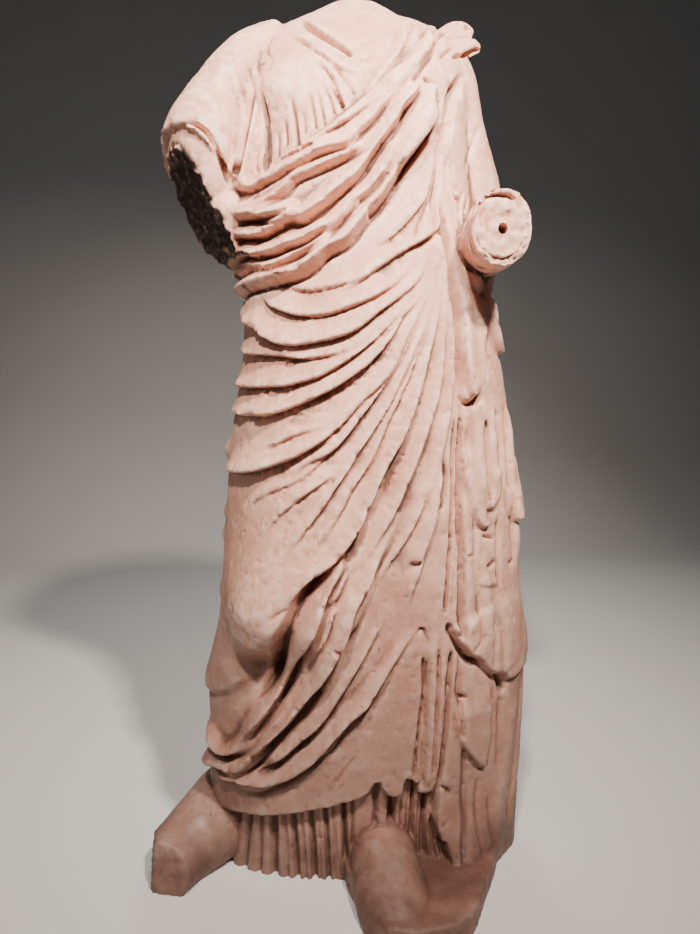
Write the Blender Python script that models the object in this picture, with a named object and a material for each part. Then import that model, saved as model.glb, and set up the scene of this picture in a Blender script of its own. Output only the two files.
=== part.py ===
# Draped marble statue of a standing woman in chiton and himation, life size.
# The head, the right arm below the elbow, the left forearm and the toes are broken away.
# It is carved as one block with what is left of its plinth under the left foot.
# Metres, +Z up. The statue faces -Y, and its own left is at +X.

from math import pi

import bmesh
import bpy
import numpy as np
from mathutils import Matrix

# The upright axis that the body's sections turn round, and the move that
# brings the centre of the whole outline's base to the origin
AXIS_X = 0.02
CENTRE = (-0.018, -0.0545)

# The flat face that the lost left forearm was set against, with its dowel hole
FOREARM_FACE = (0.200, -0.220, 1.062)
DOWEL_HOLE = 0.016
DOWEL_DEPTH = 0.035

# The flat break across the right arm: a point of it, and the way it faces
RIGHT_BREAK = (-0.262, -0.10, 1.13)
RIGHT_BREAK_FACES = (-0.85, -0.27, -0.45)

# The two faces that the toes of the right foot broke away at, in the same way
TOE_BREAKS = (
    ((-0.343, -0.10, 0.03), (-1, -0.15, 0.1)),
    ((-0.300, -0.138, 0), (-0.35, -1, 0.1)),
)

# How finely the forms are worked out, and how many triangles are kept
VOXEL = 0.0055
SMOOTH_PASSES = 2
TRIANGLES = 9400
ANGLE_STEP = 1.0
HEIGHT_STEP = 0.004
GIRTH = 0.19          # mean radius, which turns degrees into metres round the body

# Body sections: height, then how far they reach to left, right, front and back
SECTIONS = (
    (0.00, -0.243, 0.296, -0.135, 0.125),
    (0.10, -0.246, 0.300, -0.140, 0.130),
    (0.20, -0.250, 0.302, -0.150, 0.135),
    (0.32, -0.244, 0.303, -0.160, 0.140),
    (0.45, -0.216, 0.293, -0.165, 0.142),
    (0.60, -0.208, 0.283, -0.165, 0.150),
    (0.75, -0.195, 0.268, -0.165, 0.158),
    (0.88, -0.176, 0.248, -0.160, 0.155),
    (1.00, -0.172, 0.225, -0.150, 0.135),
    (1.12, -0.185, 0.200, -0.145, 0.128),
    (1.25, -0.190, 0.190, -0.138, 0.132),
    (1.36, -0.185, 0.190, -0.100, 0.125),
    (1.42, -0.145, 0.160, -0.062, 0.100),
    (1.455, -0.080, 0.100, -0.040, 0.075),
    (1.482, -0.030, 0.050, -0.022, 0.040),
)
SQUARENESS = 2.2      # 2 would make every section an ellipse

# Soft forms of the body under the cloth: angle, height, half width in
# degrees, half height in metres, and how far they push out
SWELLS = (
    (-42, 0.47, 26, 0.10, 0.045),     # right knee, bent forward
    (-38, 0.62, 24, 0.14, 0.020),     # right thigh
    (-38, 1.25, 17, 0.055, 0.028),    # breasts
    (34, 1.26, 17, 0.055, 0.026),
    (0, 0.95, 40, 0.10, 0.012),       # belly
    (150, 0.82, 30, 0.09, 0.020),     # seat
    (-150, 0.82, 30, 0.09, 0.020),
)

# Folds of the cloak and gown. Each row is: how far the crest stands out, how
# far its slope runs above it, and the line of its foot as (angle, height)
# points from the viewer's left to right. Angles are degrees from the front.
ROLL = (              # the thick roll from under the right arm to the left shoulder
    (0.020, 0.035, ((-100, 1.00), (-79, 1.015), (-41, 1.03), (-8, 1.095), (24, 1.195), (40, 1.27),
                    (54, 1.345))),
    (0.017, 0.028, ((-100, 1.04), (-57, 1.045), (-27, 1.085), (0, 1.145), (22, 1.215), (40, 1.30))),
    (0.019, 0.028, ((-100, 1.065), (-61, 1.065), (-27, 1.105), (2, 1.175), (23, 1.24), (44, 1.325))),
    (0.018, 0.028, ((-100, 1.09), (-60, 1.09), (-24, 1.14), (2, 1.20), (23, 1.25), (48, 1.345))),
    (0.024, 0.040, ((-100, 1.12), (-60, 1.125), (-31, 1.165), (-4, 1.203), (16, 1.255), (44, 1.345))),
    (0.014, 0.030, ((-95, 1.14), (-67, 1.14), (-36, 1.175), (-2, 1.235), (21, 1.30), (56, 1.38))),
    (0.012, 0.020, ((-100, 0.978), (-80, 0.98), (-60, 0.985), (-40, 1.005))),
)
HIPS = (              # catenaries across the belly and the right hip
    (0.010, 0.030, ((-90, 0.99), (-62, 0.98), (-29, 0.975), (-8, 0.985), (2, 1.00))),
    (0.012, 0.035, ((-95, 0.97), (-66, 0.96), (-45, 0.942), (-20, 0.94), (2, 0.967))),
    (0.018, 0.045, ((-100, 0.945), (-84, 0.935), (-50, 0.895), (-12, 0.91), (9, 0.95), (24, 0.995))),
    (0.012, 0.030, ((-100, 0.89), (-84, 0.88), (-54, 0.870), (-29, 0.875), (-8, 0.892))),
    (0.018, 0.050, ((-100, 0.82), (-84, 0.812), (-61, 0.82), (-34, 0.835), (-16, 0.86), (6, 0.915))),
    (0.013, 0.030, ((-100, 0.79), (-84, 0.785), (-58, 0.78), (-34, 0.80), (-16, 0.83), (4, 0.88))),
    (0.007, 0.030, ((-60, 0.752), (-39, 0.76), (-22, 0.780))),
    (0.017, 0.045, ((-100, 0.69), (-75, 0.672), (-55, 0.69), (-37, 0.73), (-18, 0.785), (4, 0.862))),
    (0.016, 0.028, ((-44, 0.67), (-28, 0.715), (-14, 0.77), (4, 0.83))),
    (0.012, 0.030, ((-50, 0.50), (-29, 0.62), (-12, 0.73), (0, 0.79), (12, 0.855))),
    (0.012, 0.028, ((-36, 0.535), (-17, 0.64), (-5, 0.73), (8, 0.81))),
    (0.020, 0.035, ((-40, 0.485), (-22, 0.555), (-12, 0.612), (-1, 0.68), (7, 0.745), (15, 0.82))),
)
BUNDLE = (            # long ribs from the left hip down to the right ankle and round it
    (0.024, 0.028, ((-96, 0.255), (-72, 0.205), (-60, 0.255), (-38, 0.36), (-22, 0.48), (-8, 0.58),
                    (12, 0.74))),
    (0.018, 0.022, ((-76, 0.207), (-50, 0.275), (-35, 0.355), (-18, 0.475))),
    (0.024, 0.045, ((-96, 0.215), (-72, 0.180), (-58, 0.225), (-35, 0.31), (-19, 0.40), (-4, 0.475),
                    (14, 0.64))),
    (0.016, 0.040, ((-66, 0.182), (-46, 0.215), (-24, 0.305), (-10, 0.36), (8, 0.48))),
    (0.024, 0.055, ((-96, 0.19), (-80, 0.170), (-60, 0.150), (-40, 0.185), (-21, 0.245), (0, 0.315),
                    (19, 0.395), (30, 0.45))),
)
CHEST = (             # cowl of the gown under the neck
    (0.014, 0.026, ((-78, 1.435), (-67, 1.425), (-50, 1.395), (-30, 1.36), (-16, 1.35))),
    (0.010, 0.022, ((-66, 1.405), (-52, 1.375), (-35, 1.34), (-20, 1.32), (-3, 1.325), (9, 1.355),
                    (33, 1.39))),
    (0.010, 0.020, ((-52, 1.365), (-38, 1.335), (-26, 1.31), (-14, 1.27))),
)

# Ends of the gown and cloak, as (angle, height)
CLOAK_TOP = ((-110, 1.18), (-85, 1.16), (-59, 1.165), (-33, 1.205), (-14, 1.245), (16, 1.31), (39, 1.365),
             (70, 1.42), (90, 1.45))
CLOAK_HEM = ((-180, 0.13), (-85, 0.15), (-64, 0.105), (-42, 0.115), (-12, 0.125), (3, 0.162),
             (15, 0.135), (24, 0.155), (34, 0.135), (42, 0.145), (46, -0.03), (112, -0.03), (120, 0.13),
             (180, 0.13))


def smooth(x):
    x = np.clip(x, 0, 1)
    return x * x * (3 - 2 * x)


def alongCurve(points, count):
    # evenly numbered points of a smooth curve through the given ones
    p = np.array(points, float)
    t = np.linspace(0, len(p) - 1, count)
    i = np.minimum(t.astype(int), len(p) - 2)
    u = (t - i)[:, None]
    a, b, c, d = p[np.maximum(i - 1, 0)], p[i], p[i + 1], p[np.minimum(i + 2, len(p) - 1)]
    return 0.5 * (2 * b + (c - a) * u + (2 * a - 5 * b + 4 * c - d) * u**2 + (3 * b - a - 3 * c + d) * u**3)


def between(table, x):
    # every column of a table whose first column rises, at x, with smooth slopes
    rows = np.array(table, float)
    at, values = rows[:, 0], rows[:, 1:]
    slopes = np.gradient(values, at, axis=0)
    i = np.clip(np.searchsorted(at, x) - 1, 0, len(at) - 2)
    step = (at[i + 1] - at[i])[..., None]
    t = (np.asarray(x)[..., None] - at[i][..., None]) / step
    start = (2 * t**3 - 3 * t**2 + 1) * values[i] + (t**3 - 2 * t**2 + t) * step * slopes[i]
    end = (3 * t**2 - 2 * t**3) * values[i + 1] + (t**3 - t**2) * step * slopes[i + 1]
    return np.moveaxis(start + end, -1, 0)


def bodyPoint(angle, height):
    # a point on the smooth body: angle from the front in degrees, to the viewer's right
    left, right, front, back = between(SECTIONS, np.clip(height, SECTIONS[0][0], SECTIONS[-1][0]))
    s, c = np.sin(np.radians(angle)), np.cos(np.radians(angle))
    across = np.where(s > 0, right - AXIS_X, AXIS_X - left)
    deep = np.where(c > 0, -front, back)
    n = SQUARENESS
    radius = ((np.abs(s) / across) ** n + (np.abs(c) / deep) ** n) ** (-1 / n)
    for middle, level, width, tall, push in SWELLS:
        off = (angle - middle + 180) % 360 - 180
        radius = radius + push * np.exp(-(off / width) ** 2 - ((height - level) / tall) ** 2)
    return np.stack([AXIS_X + radius * s, -radius * c, height + 0 * radius], -1)


class Relief:
    # How far the carving stands out from the body, and how far it hangs over
    # sideways and downward, on a map of angle by height

    def __init__(self):
        self.angles = np.arange(-180, 180 + ANGLE_STEP, ANGLE_STEP)
        self.heights = np.arange(0, 1.5, HEIGHT_STEP)
        shape = (len(self.heights), len(self.angles))
        self.form = np.zeros(shape)
        self.folds = np.zeros(shape)
        self.cuts = np.zeros(shape)
        self.hang = np.zeros(shape + (2,))

    def near(self, line, reach):
        # the part of the map near a line: signed distance (above is positive), place along
        # the line from 0 to 1, and the direction square to it toward its lower side
        degree = np.radians(GIRTH)
        low = line.min(0) - (reach / degree, reach)
        high = line.max(0) + (reach / degree, reach)
        rows = slice(*np.searchsorted(self.heights, (low[1], high[1])))
        columns = slice(*np.searchsorted(self.angles, (low[0], high[0])))
        x, z = np.meshgrid(self.angles[columns] * degree, self.heights[rows])
        best = np.full(x.shape, 1e9)
        place, side = np.zeros(x.shape), np.ones(x.shape)
        ends = line * (degree, 1)
        for i, (start, end) in enumerate(zip(ends[:-1], ends[1:])):
            dx, dz = end - start
            t = np.clip(((x - start[0]) * dx + (z - start[1]) * dz) / (dx * dx + dz * dz + 1e-12), 0, 1)
            ex, ez = x - start[0] - t * dx, z - start[1] - t * dz
            distance = np.hypot(ex, ez)
            closer = distance < best
            best[closer] = distance[closer]
            place[closer] = (i + t[closer]) / (len(ends) - 1)
            side[closer] = np.sign(dx * ez - dz * ex)[closer]
        run = np.gradient(ends, axis=0)
        run /= np.linalg.norm(run, axis=1)[:, None] + 1e-12
        ways = np.linspace(0, 1, len(ends))
        under = np.stack([np.interp(place, ways, run[:, 1]), -np.interp(place, ways, run[:, 0])], -1)
        return rows, columns, best * side, place, under

    def turns(self, line):
        # a line that runs over the middle of the back is drawn on both edges of the map
        first, last = line[:, 0].min(), line[:, 0].max()
        return [turn for turn in (-360, 0, 360) if first + turn < 180 and last + turn > -180]

    def fold(self, foot, lift, above, below=0.006, hang=0.5, fade=(0.12, 0.35), crisp=1.0):
        # one fold: a crest just above its foot, a long slope above it and a short steep one below
        line = alongCurve(foot, 8 * len(foot))
        for turn in self.turns(line):
            rows, columns, distance, place, under = self.near(line + (turn, 0), above + 2 * below)
            grow = smooth(place / fade[0]) * smooth((1 - place) / fade[1])
            crest = distance - below
            reach = np.where(crest > 0, above * (0.5 + 0.5 * grow), below)
            shape = 1 - np.clip(np.abs(crest) / reach, 0, 1) ** np.where(crest > 0, crisp, 2)
            height = lift * grow * shape
            taller = height > self.folds[rows, columns]
            self.folds[rows, columns][taller] = height[taller]
            self.hang[rows, columns][taller] = (under * (hang * height)[..., None])[taller]

    def cut(self, points, depth, width, fade=(0.18, 0.18)):
        # a groove that narrows to nothing at both ends
        line = alongCurve(points, 8 * len(points))
        for turn in self.turns(line):
            rows, columns, distance, place, under = self.near(line + (turn, 0), width)
            grow = smooth(place / fade[0]) * smooth((1 - place) / fade[1])
            shape = 1 - np.clip(np.abs(distance) / (width * (0.4 + 0.6 * grow)), 0, 1) ** 1.5
            self.cuts[rows, columns] = np.minimum(self.cuts[rows, columns], -depth * grow * shape)

    def swell(self, middle, level, width, tall, push):
        off = (self.angles - middle + 180) % 360 - 180
        upright = np.exp(-((self.heights - level) / tall) ** 2)
        self.form += push * np.outer(upright, np.exp(-(off / width) ** 2))

    def total(self):
        return self.form + self.folds + self.cuts


def onLine(points, x):
    rows = np.array(points, float)
    return np.interp(x, rows[:, 0], rows[:, 1])


def carve():
    r = Relief()
    for family in (ROLL, HIPS, BUNDLE, CHEST):
        for lift, above, foot in family:
            r.fold(foot, lift, above)
            r.cut(foot, 0.35 * lift, 0.006)
    carveGown(r)
    carveKnee(r)
    carveCascade(r)
    carveLegs(r)
    carveBack(r)
    carveLayers(r)
    return r


def carveLayers(r):
    # the cloak lies over the gown: its top edge steps in to the chest, its hem to the skirt
    angle, height = np.meshgrid(r.angles, r.heights)
    hem = onLine(CLOAK_HEM, r.angles)[None, :]
    r.form += 0.022 * smooth((height - hem) / 0.010 + 0.5) - 0.010
    top = onLine(CLOAK_TOP, r.angles)[None, :]
    onChest = smooth((height - top) / 0.012) * smooth((angle + 100) / 12) * smooth((86 - angle) / 12)
    r.form -= 0.012 * onChest
    for k in range(30):
        place = -84 + 130 * k / 29
        edge = onLine(CLOAK_HEM, place) + 0.004
        r.cut(((place, edge), (place + 0.5, -0.02)), 0.010, 0.0055, fade=(0.02, 0.02))


def carveGown(r):
    # narrow pleats that run down over the right breast and end on the roll
    count = 12
    for k in range(count):
        f = k / (count - 1)
        top, foot = -72 + 46 * f, -88 + 66 * f ** 0.9
        end = onLine(CLOAK_TOP, foot)
        r.cut(((top, 1.34 - 0.06 * f), (0.5 * (top + foot) - 1, 1.27), (foot, end - 0.01)),
              0.006 + 0.006 * (k % 3 == 1), 0.007, fade=(0.5, 0.1))


def carveKnee(r):
    # the knee hangs over a deep hollow, and a flap of cloth falls beside it
    r.fold(((-74, 0.45), (-68, 0.425), (-58, 0.402), (-48, 0.405), (-38, 0.435), (-34, 0.49), (-26, 0.53)),
           0.018, 0.09, below=0.010, hang=0.6, fade=(0.2, 0.2))
    r.swell(-54, 0.345, 13, 0.033, -0.040)
    r.fold(((-100, 0.37), (-90, 0.35), (-78, 0.345), (-64, 0.36)), 0.014, 0.10, below=0.008,
           fade=(0.3, 0.15))
    r.cut(((-70, 0.47), (-67, 0.41), (-62, 0.37)), 0.018, 0.012)
    r.cut(((-46, 0.462), (-40, 0.472), (-34, 0.488)), 0.010, 0.008)


def carveLegs(r):
    # left leg: long straight folds beside it, a turned edge, and the hanging end below the shin
    for lift, above, foot in (
        (0.012, 0.030, ((-9, 0.555), (2, 0.635), (10, 0.70), (19, 0.80), (26, 0.90))),
        (0.012, 0.035, ((-8, 0.48), (0, 0.53), (9, 0.60), (19, 0.665), (27, 0.78), (32, 0.90))),
        (0.016, 0.045, ((15, 0.540), (24, 0.60), (31, 0.70), (35, 0.80), (39, 0.92))),
        (0.010, 0.030, ((20, 0.49), (24, 0.53), (29, 0.58), (34, 0.64), (37, 0.72))),
        (0.010, 0.040, ((-9, 0.985), (7, 1.035), (22, 1.055), (38, 1.075))),
        (0.012, 0.060, ((-12, 0.995), (7, 1.042), (25, 1.10), (31, 1.14), (36, 1.205))),
    ):
        r.fold(foot, lift, above, fade=(0.25, 0.35))
    for place in (25, 29.5, 33, 36.5):
        r.cut(((place, 0.42), (place - 0.5, 0.28), (place - 1, 0.15)), 0.009, 0.008, fade=(0.1, 0.1))


def carveCascade(r):
    # folds that fall from the left forearm to the ground, behind a deep channel
    r.swell(64, 0.52, 20, 0.60, 0.010)
    r.cut(((37, 1.20), (39, 1.12), (45, 1.00), (49, 0.88), (45.5, 0.76), (44.5, 0.60), (44.5, 0.42)),
          0.045, 0.018, fade=(0.2, 0.08))
    r.cut(((40, 0.80), (40, 0.62), (38.5, 0.44)), 0.022, 0.008, fade=(0.1, 0.1))
    tips = (
        (0.012, ((47, 1.035), (60, 0.985), (72, 0.985), (90, 1.03))),
        (0.012, ((50, 0.90), (51.5, 0.815), (60, 0.825), (70, 0.86), (78, 0.92))),
        (0.012, ((49, 0.74), (53, 0.635), (58, 0.597), (64, 0.62), (70, 0.68), (76, 0.76))),
        (0.012, ((40, 0.44), (46, 0.40), (54, 0.382), (62, 0.352), (70, 0.315), (84, 0.33))),
        (0.014, ((46, 0.33), (49, 0.24), (58, 0.180), (66, 0.19), (76, 0.26))),
    )
    for lift, foot in tips:
        r.fold(foot, lift, 0.10, below=0.006, hang=0.4, fade=(0.08, 0.25))
    for place, top, end in ((50, 0.78, 0.40), (56, 0.58, 0.10), (60, 0.98, 0.42), (68, 0.95, 0.05),
                            (76, 1.0, 0.05), (50, 0.16, 0.0), (62, 0.34, 0.0)):
        r.cut(((place, top), (place + 1, 0.5 * (top + end)), (place, end)), 0.014, 0.010, fade=(0.1, 0.1))
    r.cut(((40.5, 0.42), (40.5, 0.28), (39, 0.10)), 0.016, 0.008, fade=(0.1, 0.1))


def carveBack(r):
    # plainer: the front's folds go on round the right side and rise to the left shoulder
    for start in (0.14, 0.26, 0.38, 0.48, 0.58, 0.68, 0.78, 0.87, 0.94, 1.03):
        rise = 0.12 + 0.30 * start
        r.fold(((-252, start + rise * 1.05), (-220, start + 0.75 * rise), (-180, start + 0.40 * rise),
                (-135, start + 0.12 * rise), (-96, start)), 0.014, 0.055, fade=(0.3, 0.2))
    for place in (84, 92, 100, 108):
        r.cut(((place, 1.0), (place + 2, 0.5), (place, 0.02)), 0.012, 0.014, fade=(0.1, 0.05))


def clearScene():
    for thing in list(bpy.data.objects):
        bpy.data.objects.remove(thing)


def wrapGrid(name, shape, across, along):
    # a flat grid bent round a form: shape takes the turn from 0 to 1 and the way along it from 0 to 1
    mesh = bpy.data.meshes.new(name)
    bm = bmesh.new()
    bmesh.ops.create_grid(bm, x_segments=across, y_segments=along, size=0.5)
    bm.to_mesh(mesh)
    bm.clear()
    flat = np.empty(len(mesh.vertices) * 3, np.float32)
    mesh.vertices.foreach_get("co", flat)
    turn, way = flat.reshape(-1, 3)[:, 0] + 0.5, flat.reshape(-1, 3)[:, 1] + 0.5
    mesh.vertices.foreach_set("co", shape(turn.astype(float), way.astype(float)).astype(np.float32).ravel())
    mesh.update()
    bm.from_mesh(mesh)
    bmesh.ops.remove_doubles(bm, verts=bm.verts, dist=0.00001)
    bm.to_mesh(mesh)
    bm.free()
    thing = bpy.data.objects.new(name, mesh)
    bpy.context.collection.objects.link(thing)
    return thing


def sample(relief, field, angle, height):
    # the map's value at any angle and height, between its cells
    x = (angle - relief.angles[0]) / ANGLE_STEP
    z = np.clip(height - relief.heights[0], 0, None) / HEIGHT_STEP
    i = np.clip(x.astype(int), 0, len(relief.angles) - 2)
    j = np.clip(z.astype(int), 0, len(relief.heights) - 2)
    u, v = np.clip(x - i, 0, 1), np.clip(z - j, 0, 1)
    if field.ndim > 2:
        u, v = u[:, None], v[:, None]
    low = field[j, i] * (1 - u) + field[j, i + 1] * u
    high = field[j + 1, i] * (1 - u) + field[j + 1, i + 1] * u
    return low * (1 - v) + high * v


def body(relief):
    top = SECTIONS[-1][0]
    lift = relief.total()

    def shape(turn, way):
        angle = (360 * turn) % 360 - 180
        height = np.clip(-0.03 + (top + 0.04) * way, -0.02, top)
        point = bodyPoint(angle, height)
        east = bodyPoint(angle + 0.5, height) - point
        above = np.minimum(height + 0.002, top)
        up = bodyPoint(angle, above) - bodyPoint(angle, above - 0.002)
        east /= np.linalg.norm(east, axis=1)[:, None]
        up /= np.linalg.norm(up, axis=1)[:, None] + 1e-9
        out = np.cross(east, up)
        out /= np.linalg.norm(out, axis=1)[:, None] + 1e-9
        hang = sample(relief, relief.hang, angle, height)
        calm = smooth((top - 0.005 - height) / 0.03)[:, None]
        stand = sample(relief, lift, angle, height)[:, None]
        point = point + calm * (out * stand + east * hang[:, :1] + up * hang[:, 1:])
        ends = (way < 1e-6) | (way > 1 - 1e-6)
        point[ends, 0], point[ends, 1] = AXIS_X, 0
        return point

    return wrapGrid("body", shape, 360, 380)


def limb(name, stations, across=64, along=60):
    # a round form through stations: x, y, z of its middle, and its two half widths.
    # The first is square to its run and level, the second square to both
    path = alongCurve(stations, along + 3)

    def shape(turn, way):
        t = way * (len(path) - 1)
        i = np.minimum(t.astype(int), len(path) - 2)
        row = path[i] + (path[i + 1] - path[i]) * (t - i)[:, None]
        run = path[i + 1, :3] - path[i, :3]
        run /= np.linalg.norm(run, axis=1)[:, None]
        level = np.cross(run, (0, 0.02, 1) if abs(path[-1, 2] - path[0, 2]) < 0.2 else (0, 1, 0))
        level /= np.linalg.norm(level, axis=1)[:, None]
        other = np.cross(level, run)
        a = 2 * np.pi * turn
        closed = np.minimum(way * along / 4, (1 - way) * along / 4)
        round_end = np.sqrt(np.clip(1 - np.clip(1 - closed, 0, 1) ** 2, 0, 1))
        return (row[:, :3] + level * (row[:, 3] * np.cos(a) * round_end)[:, None]
                + other * (row[:, 4] * np.sin(a) * round_end)[:, None])

    return wrapGrid(name, shape, across, along)


def limbs():
    made = []
    made.append(limb("rightArm", (
        (-0.10, 0.02, 1.415, 0.05, 0.05), (-0.165, 0.012, 1.372, 0.055, 0.080),
        (-0.212, 0.00, 1.30, 0.064, 0.095), (-0.242, -0.01, 1.22, 0.078, 0.105),
        (-0.228, -0.01, 1.15, 0.072, 0.100), (-0.190, 0.00, 1.08, 0.055, 0.080),
        (-0.150, 0.00, 1.02, 0.040, 0.060))))
    made.append(limb("rightElbow", (
        (-0.225, -0.02, 1.235, 0.050, 0.050), (-0.252, -0.055, 1.20, 0.048, 0.045),
        (-0.268, -0.085, 1.17, 0.044, 0.040), (-0.280, -0.10, 1.15, 0.040, 0.036))))
    made.append(limb("leftShoulder", (
        (0.00, 0.03, 1.385, 0.050, 0.070), (0.06, 0.025, 1.395, 0.055, 0.068),
        (0.115, 0.02, 1.390, 0.058, 0.062), (0.165, 0.015, 1.380, 0.055, 0.055),
        (0.195, 0.01, 1.370, 0.045, 0.04))))
    made.append(limb("leftArm", (
        (0.12, 0.03, 1.40, 0.050, 0.050), (0.160, 0.02, 1.375, 0.060, 0.080),
        (0.180, 0.02, 1.28, 0.062, 0.082), (0.200, 0.02, 1.18, 0.072, 0.082),
        (0.225, 0.02, 1.10, 0.072, 0.082), (0.230, 0.02, 1.03, 0.055, 0.068),
        (0.225, 0.02, 0.96, 0.036, 0.050))))
    made.append(limb("leftForearm", (
        (0.215, 0.05, 1.085, 0.050, 0.068), (0.212, -0.05, 1.075, 0.052, 0.070),
        (0.205, -0.16, 1.063, 0.050, 0.066), (0.202, -0.26, 1.060, 0.049, 0.063))))
    made.append(limb("rightFoot", (
        (-0.15, 0.05, 0.085, 0.075, 0.09), (-0.215, 0.005, 0.070, 0.072, 0.080),
        (-0.265, -0.04, 0.050, 0.064, 0.066), (-0.300, -0.075, 0.035, 0.056, 0.058),
        (-0.325, -0.115, 0.030, 0.052, 0.052), (-0.345, -0.15, 0.03, 0.048, 0.048))))
    made.append(limb("leftFoot", (
        (0.045, -0.04, 0.055, 0.060, 0.060), (0.042, -0.12, 0.038, 0.060, 0.062),
        (0.040, -0.20, 0.025, 0.066, 0.060), (0.040, -0.27, 0.00, 0.060, 0.045),
        (0.042, -0.30, -0.01, 0.05, 0.03))))
    made.append(limb("shoulderFolds", (
        (0.12, 0.02, 1.430, 0.014, 0.030), (0.165, 0.00, 1.436, 0.013, 0.034),
        (0.200, -0.01, 1.420, 0.012, 0.032), (0.216, -0.015, 1.400, 0.009, 0.024))))
    return made


def plinth():
    # the scrap of plinth under the left foot
    outline = ((-0.02, -0.10), (-0.015, -0.16), (0.0, -0.21), (0.01, -0.29), (0.06, -0.305), (0.13, -0.295),
               (0.165, -0.26), (0.200, -0.205), (0.215, -0.15), (0.25, -0.07), (0.05, 0.02), (-0.03, -0.02))
    mesh = bpy.data.meshes.new("plinth")
    bm = bmesh.new()
    corners = [bm.verts.new((x, y, -0.01)) for x, y in outline]
    face = bm.faces.new(corners)
    top = bmesh.ops.extrude_face_region(bm, geom=[face])
    raised = [item for item in top["geom"] if isinstance(item, bmesh.types.BMVert)]
    bmesh.ops.translate(bm, vec=(0, 0, 0.045), verts=raised)
    bmesh.ops.recalc_face_normals(bm, faces=bm.faces)
    bm.to_mesh(mesh)
    bm.free()
    thing = bpy.data.objects.new("plinth", mesh)
    bpy.context.collection.objects.link(thing)
    return thing


def pressFlat(thing, point, normal):
    # everything beyond a plane is pressed back on to it, which leaves a flat break
    mesh = thing.data
    flat = np.empty(len(mesh.vertices) * 3, np.float32)
    mesh.vertices.foreach_get("co", flat)
    co = flat.reshape(-1, 3).astype(float)
    n = np.array(normal, float) / np.linalg.norm(normal)
    beyond = np.clip((co - point) @ n, 0, None)
    mesh.vertices.foreach_set("co", (co - beyond[:, None] * n).astype(np.float32).ravel())
    mesh.update()


def join(things, name):
    bpy.ops.object.select_all(action="DESELECT")
    for thing in things:
        thing.select_set(True)
    bpy.context.view_layer.objects.active = things[0]
    bpy.ops.object.join()
    things[0].name = name
    things[0].data.name = name
    return things[0]


def applyModifiers(thing):
    graph = bpy.context.evaluated_depsgraph_get()
    made = bpy.data.meshes.new_from_object(thing.evaluated_get(graph))
    thing.modifiers.clear()
    thing.data = made


def keepLargest(thing):
    # drops any sealed hollow that the joined forms leave inside
    bm = bmesh.new()
    bm.from_mesh(thing.data)
    left = set(bm.verts)
    groups = []
    while left:
        seed = left.pop()
        group, queue = [seed], [seed]
        while queue:
            for edge in queue.pop().link_edges:
                for vert in edge.verts:
                    if vert in left:
                        left.remove(vert)
                        group.append(vert)
                        queue.append(vert)
        groups.append(group)
    groups.sort(key=len)
    bmesh.ops.delete(bm, geom=[vert for group in groups[:-1] for vert in group], context="VERTS")
    bm.to_mesh(thing.data)
    bm.free()


def addCutter(statue, name, build):
    mesh = bpy.data.meshes.new(name)
    bm = bmesh.new()
    build(bm)
    bm.to_mesh(mesh)
    bm.free()
    cutter = bpy.data.objects.new(name, mesh)
    bpy.context.collection.objects.link(cutter)
    cutter.hide_render = True
    cutter.display_type = "WIRE"
    cut = statue.modifiers.new(name, "BOOLEAN")
    cut.operation = "DIFFERENCE"
    cut.solver = "EXACT"
    cut.object = cutter


def marble():
    material = bpy.data.materials.new("marble")
    material.use_nodes = True
    shader = material.node_tree.nodes["Principled BSDF"]
    shader.inputs["Base Color"].default_value = (0.66, 0.52, 0.44, 1)
    shader.inputs["Roughness"].default_value = 0.6
    shader.inputs["Metallic"].default_value = 0
    return material


def carveStatue():
    parts = [body(carve())] + limbs() + [plinth()]
    for thing in parts[1:3]:
        pressFlat(thing, RIGHT_BREAK, RIGHT_BREAK_FACES)
    for point, normal in TOE_BREAKS:
        pressFlat(parts[6], point, normal)
    statue = join(parts, "statue")
    remesh = statue.modifiers.new("carve", "REMESH")
    remesh.mode = "VOXEL"
    remesh.voxel_size = VOXEL
    applyModifiers(statue)
    keepLargest(statue)
    soften = statue.modifiers.new("soften", "SMOOTH")
    soften.factor = 0.5
    soften.iterations = SMOOTH_PASSES
    thin = statue.modifiers.new("thin", "DECIMATE")
    thin.ratio = TRIANGLES / (2 * len(statue.data.polygons))
    applyModifiers(statue)
    return statue


def cutFlats(statue):
    # the underside, the face that the lost forearm was set against, and its dowel hole
    def ground(bm):
        bmesh.ops.create_cube(bm, size=1)
        bmesh.ops.scale(bm, vec=(2, 2, 0.2), verts=bm.verts)
        bmesh.ops.translate(bm, vec=(0, 0, -0.1), verts=bm.verts)

    def forearmEnd(bm):
        bmesh.ops.create_cube(bm, size=0.2)
        bmesh.ops.translate(bm, vec=(FOREARM_FACE[0], FOREARM_FACE[1] - 0.1, FOREARM_FACE[2]), verts=bm.verts)

    def dowelHole(bm):
        bmesh.ops.create_cone(bm, cap_ends=True, segments=16, radius1=DOWEL_HOLE / 2,
                              radius2=DOWEL_HOLE / 2, depth=2 * DOWEL_DEPTH)
        bmesh.ops.rotate(bm, matrix=Matrix.Rotation(pi / 2, 3, "X"), verts=bm.verts)
        bmesh.ops.translate(bm, vec=FOREARM_FACE, verts=bm.verts)

    addCutter(statue, "groundCutter", ground)
    addCutter(statue, "forearmCutter", forearmEnd)
    addCutter(statue, "dowelCutter", dowelHole)
    applyModifiers(statue)
    for name in ("groundCutter", "forearmCutter", "dowelCutter"):
        bpy.data.objects.remove(bpy.data.objects[name])


clearScene()
statue = carveStatue()
cutFlats(statue)
keepLargest(statue)
statue.data.transform(Matrix.Translation((-CENTRE[0], -CENTRE[1], 0)))
statue.data.materials.clear()
statue.data.materials.append(marble())
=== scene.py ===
# A draped marble statue of a standing woman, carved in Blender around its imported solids.
# Metres, +Z up. The statue faces -Y, and its own left is at +X. The tables of lines, limbs
# and strokes are in millimetres, and say so

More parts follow.
